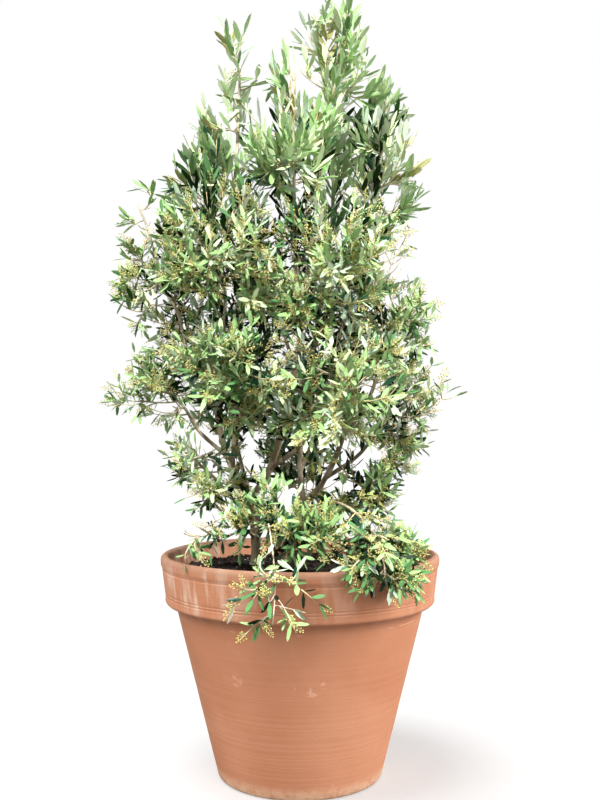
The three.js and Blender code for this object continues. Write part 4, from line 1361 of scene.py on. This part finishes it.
def make_floor():
    """A wide white floor under the pot. Its glow shows to the camera alone and lights nothing."""
    corners = [(-1, -1), (1, -1), (1, 1), (-1, 1)]
    points = [(x * FLOOR_REACH, y * FLOOR_REACH, -FLOOR_DEPTH) for x, y in corners]
    paint = Nodes("floor_paint", (188, 188, 188), 0.9, 0.0)
    paint.shader.inputs["Emission Color"].default_value = (1, 1, 1, 1)
    rays = paint.add("ShaderNodeLightPath")
    glow = paint.math("MULTIPLY", rays.outputs["Is Camera Ray"], FLOOR_GLOW)
    paint.link(glow, paint.shader.inputs["Emission Strength"])
    faces = np.array([(0, 1, 2), (0, 2, 3)])
    floor = make_mesh("floor", points, faces, paint.material)
    return floor


def make_world():
    """White to the camera; as a light, brighter from the front than from behind."""
    world = bpy.data.worlds.new("studio")
    bpy.context.scene.world = world
    world.use_nodes = True
    nodes, links = world.node_tree.nodes, world.node_tree.links
    ambient = nodes["Background"]
    place = nodes.new("ShaderNodeTexCoord")
    split = nodes.new("ShaderNodeSeparateXYZ")
    spread = nodes.new("ShaderNodeMapRange")
    links.new(place.outputs["Generated"], split.inputs["Vector"])
    links.new(split.outputs["Y"], spread.inputs["Value"])
    links.new(spread.outputs["Result"], ambient.inputs["Strength"])
    for key, value in zip(("From Min", "From Max", "To Min", "To Max"), (1, -1, *AMBIENT)):
        spread.inputs[key].default_value = value
    seen = nodes.new("ShaderNodeBackground")
    seen.inputs["Strength"].default_value = 1.0
    for shade in (ambient, seen):
        shade.inputs["Color"].default_value = (1, 1, 1, 1)
    rays = nodes.new("ShaderNodeLightPath")
    either = nodes.new("ShaderNodeMixShader")
    links.new(rays.outputs["Is Camera Ray"], either.inputs["Fac"])
    links.new(ambient.outputs["Background"], either.inputs[1])
    links.new(seen.outputs["Background"], either.inputs[2])
    links.new(either.outputs["Shader"], nodes["World Output"].inputs["Surface"])


def add_sun(name, from_right, height, power, softness):
    """A sun from so many degrees right of the front, and so many above the floor."""
    data = bpy.data.lights.new(name, "SUN")
    data.energy = power
    data.angle = math.radians(softness)
    light = bpy.data.objects.new(name, data)
    turn, rise = math.radians(from_right), math.radians(height)
    level = math.cos(rise)
    way = Vector((math.sin(turn) * level, -math.cos(turn) * level, math.sin(rise)))
    light.rotation_euler = way.to_track_quat("Z", "Y").to_euler()
    bpy.context.scene.collection.objects.link(light)
    return light


def linked_group(name, pieces, state):
    """The collection that tells a light about these pieces alone, or about all but them."""
    group = bpy.data.collections.new(name)
    for piece in pieces:
        group.objects.link(piece)
    for member in group.collection_objects:
        member.light_linking.link_state = state
    return group


def link_light(light, pieces, state):
    """Lights these pieces alone (INCLUDE), or everything but them (EXCLUDE)."""
    light.light_linking.receiver_collection = linked_group(light.name + "_lit", pieces, state)


def make_camera():
    data = bpy.data.cameras.new("camera")
    data.sensor_width = 36
    data.lens = FOCAL_LENGTH
    data.clip_end = 200
    camera = bpy.data.objects.new("camera", data)
    camera.location = (0, -EYE_DISTANCE * MM, EYE_HEIGHT * MM)
    camera.rotation_euler = (math.radians(90 + EYE_RISE), 0, 0)
    bpy.context.scene.collection.objects.link(camera)
    bpy.context.scene.camera = camera


# ---------------------------------------------------------------- the scene

def replace(piece, slot, *nodes):
    """Attaches a piece to the root and hides the solids that it stands for; slot is not used."""
    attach(piece, "root")
    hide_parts(*nodes)


make_camera()
make_world()
floor = make_floor()
floor_sun = add_sun(*FLOOR_SUN)
link_light(floor_sun, [floor], "INCLUDE")
bpy.context.scene.view_settings.view_transform = "Standard"

pot = make_pot()
replace(pot, "terracotta", "pot")
floor_sun.light_linking.blocker_collection = linked_group("floor_shade", [pot], "INCLUDE")
for sun in POT_SUNS:
    link_light(add_sun(*sun), [pot], "INCLUDE")
for sun in SUNS:
    link_light(add_sun(*sun), [floor, pot], "EXCLUDE")
replace(make_soil(), "soil", "soil")
soil_material = bpy.data.materials["compost"]
replace(scatter("soil_crumbs", soil_material, **CRUMBS), "soil", "soil")
replace(scatter("soil_specks", perlite(), **SPECKS), "soil", "soil")

limbs = [make_trunk(row) for row in TRUNKS]
for mass in MASSES:
    limbs.append(make_bough(mass, next(limb for limb in limbs if limb.name == mass["source"])))
bark_material = bark()
for number, limb in enumerate(limbs):
    replace(bark_mesh(limb, bark_material, number), "bark", limb.name)

foliage_nodes = ["foliage_" + mass["name"] for mass in MASSES]
wood, leaves, panicles = grow(limbs)
twig_material, shoot_material = twig_bark(), shoot_skin()
twigs = [limb for limb in wood if limb.name != "shoot"]
shoots = [limb for limb in wood if limb.name == "shoot"]
replace(wood_mesh("twigs", twigs, 6, 6, twig_material), "foliage", *foliage_nodes)
replace(wood_mesh("shoots", shoots, 4, 3, shoot_material), "foliage", *foliage_nodes)
for kind, rows in leaves.items():
    replace(leaves_mesh("leaves_" + kind, rows, leaf_pair(kind)), "foliage", *foliage_nodes)
for piece in make_panicles(panicles):
    replace(piece, "foliage", *foliage_nodes)
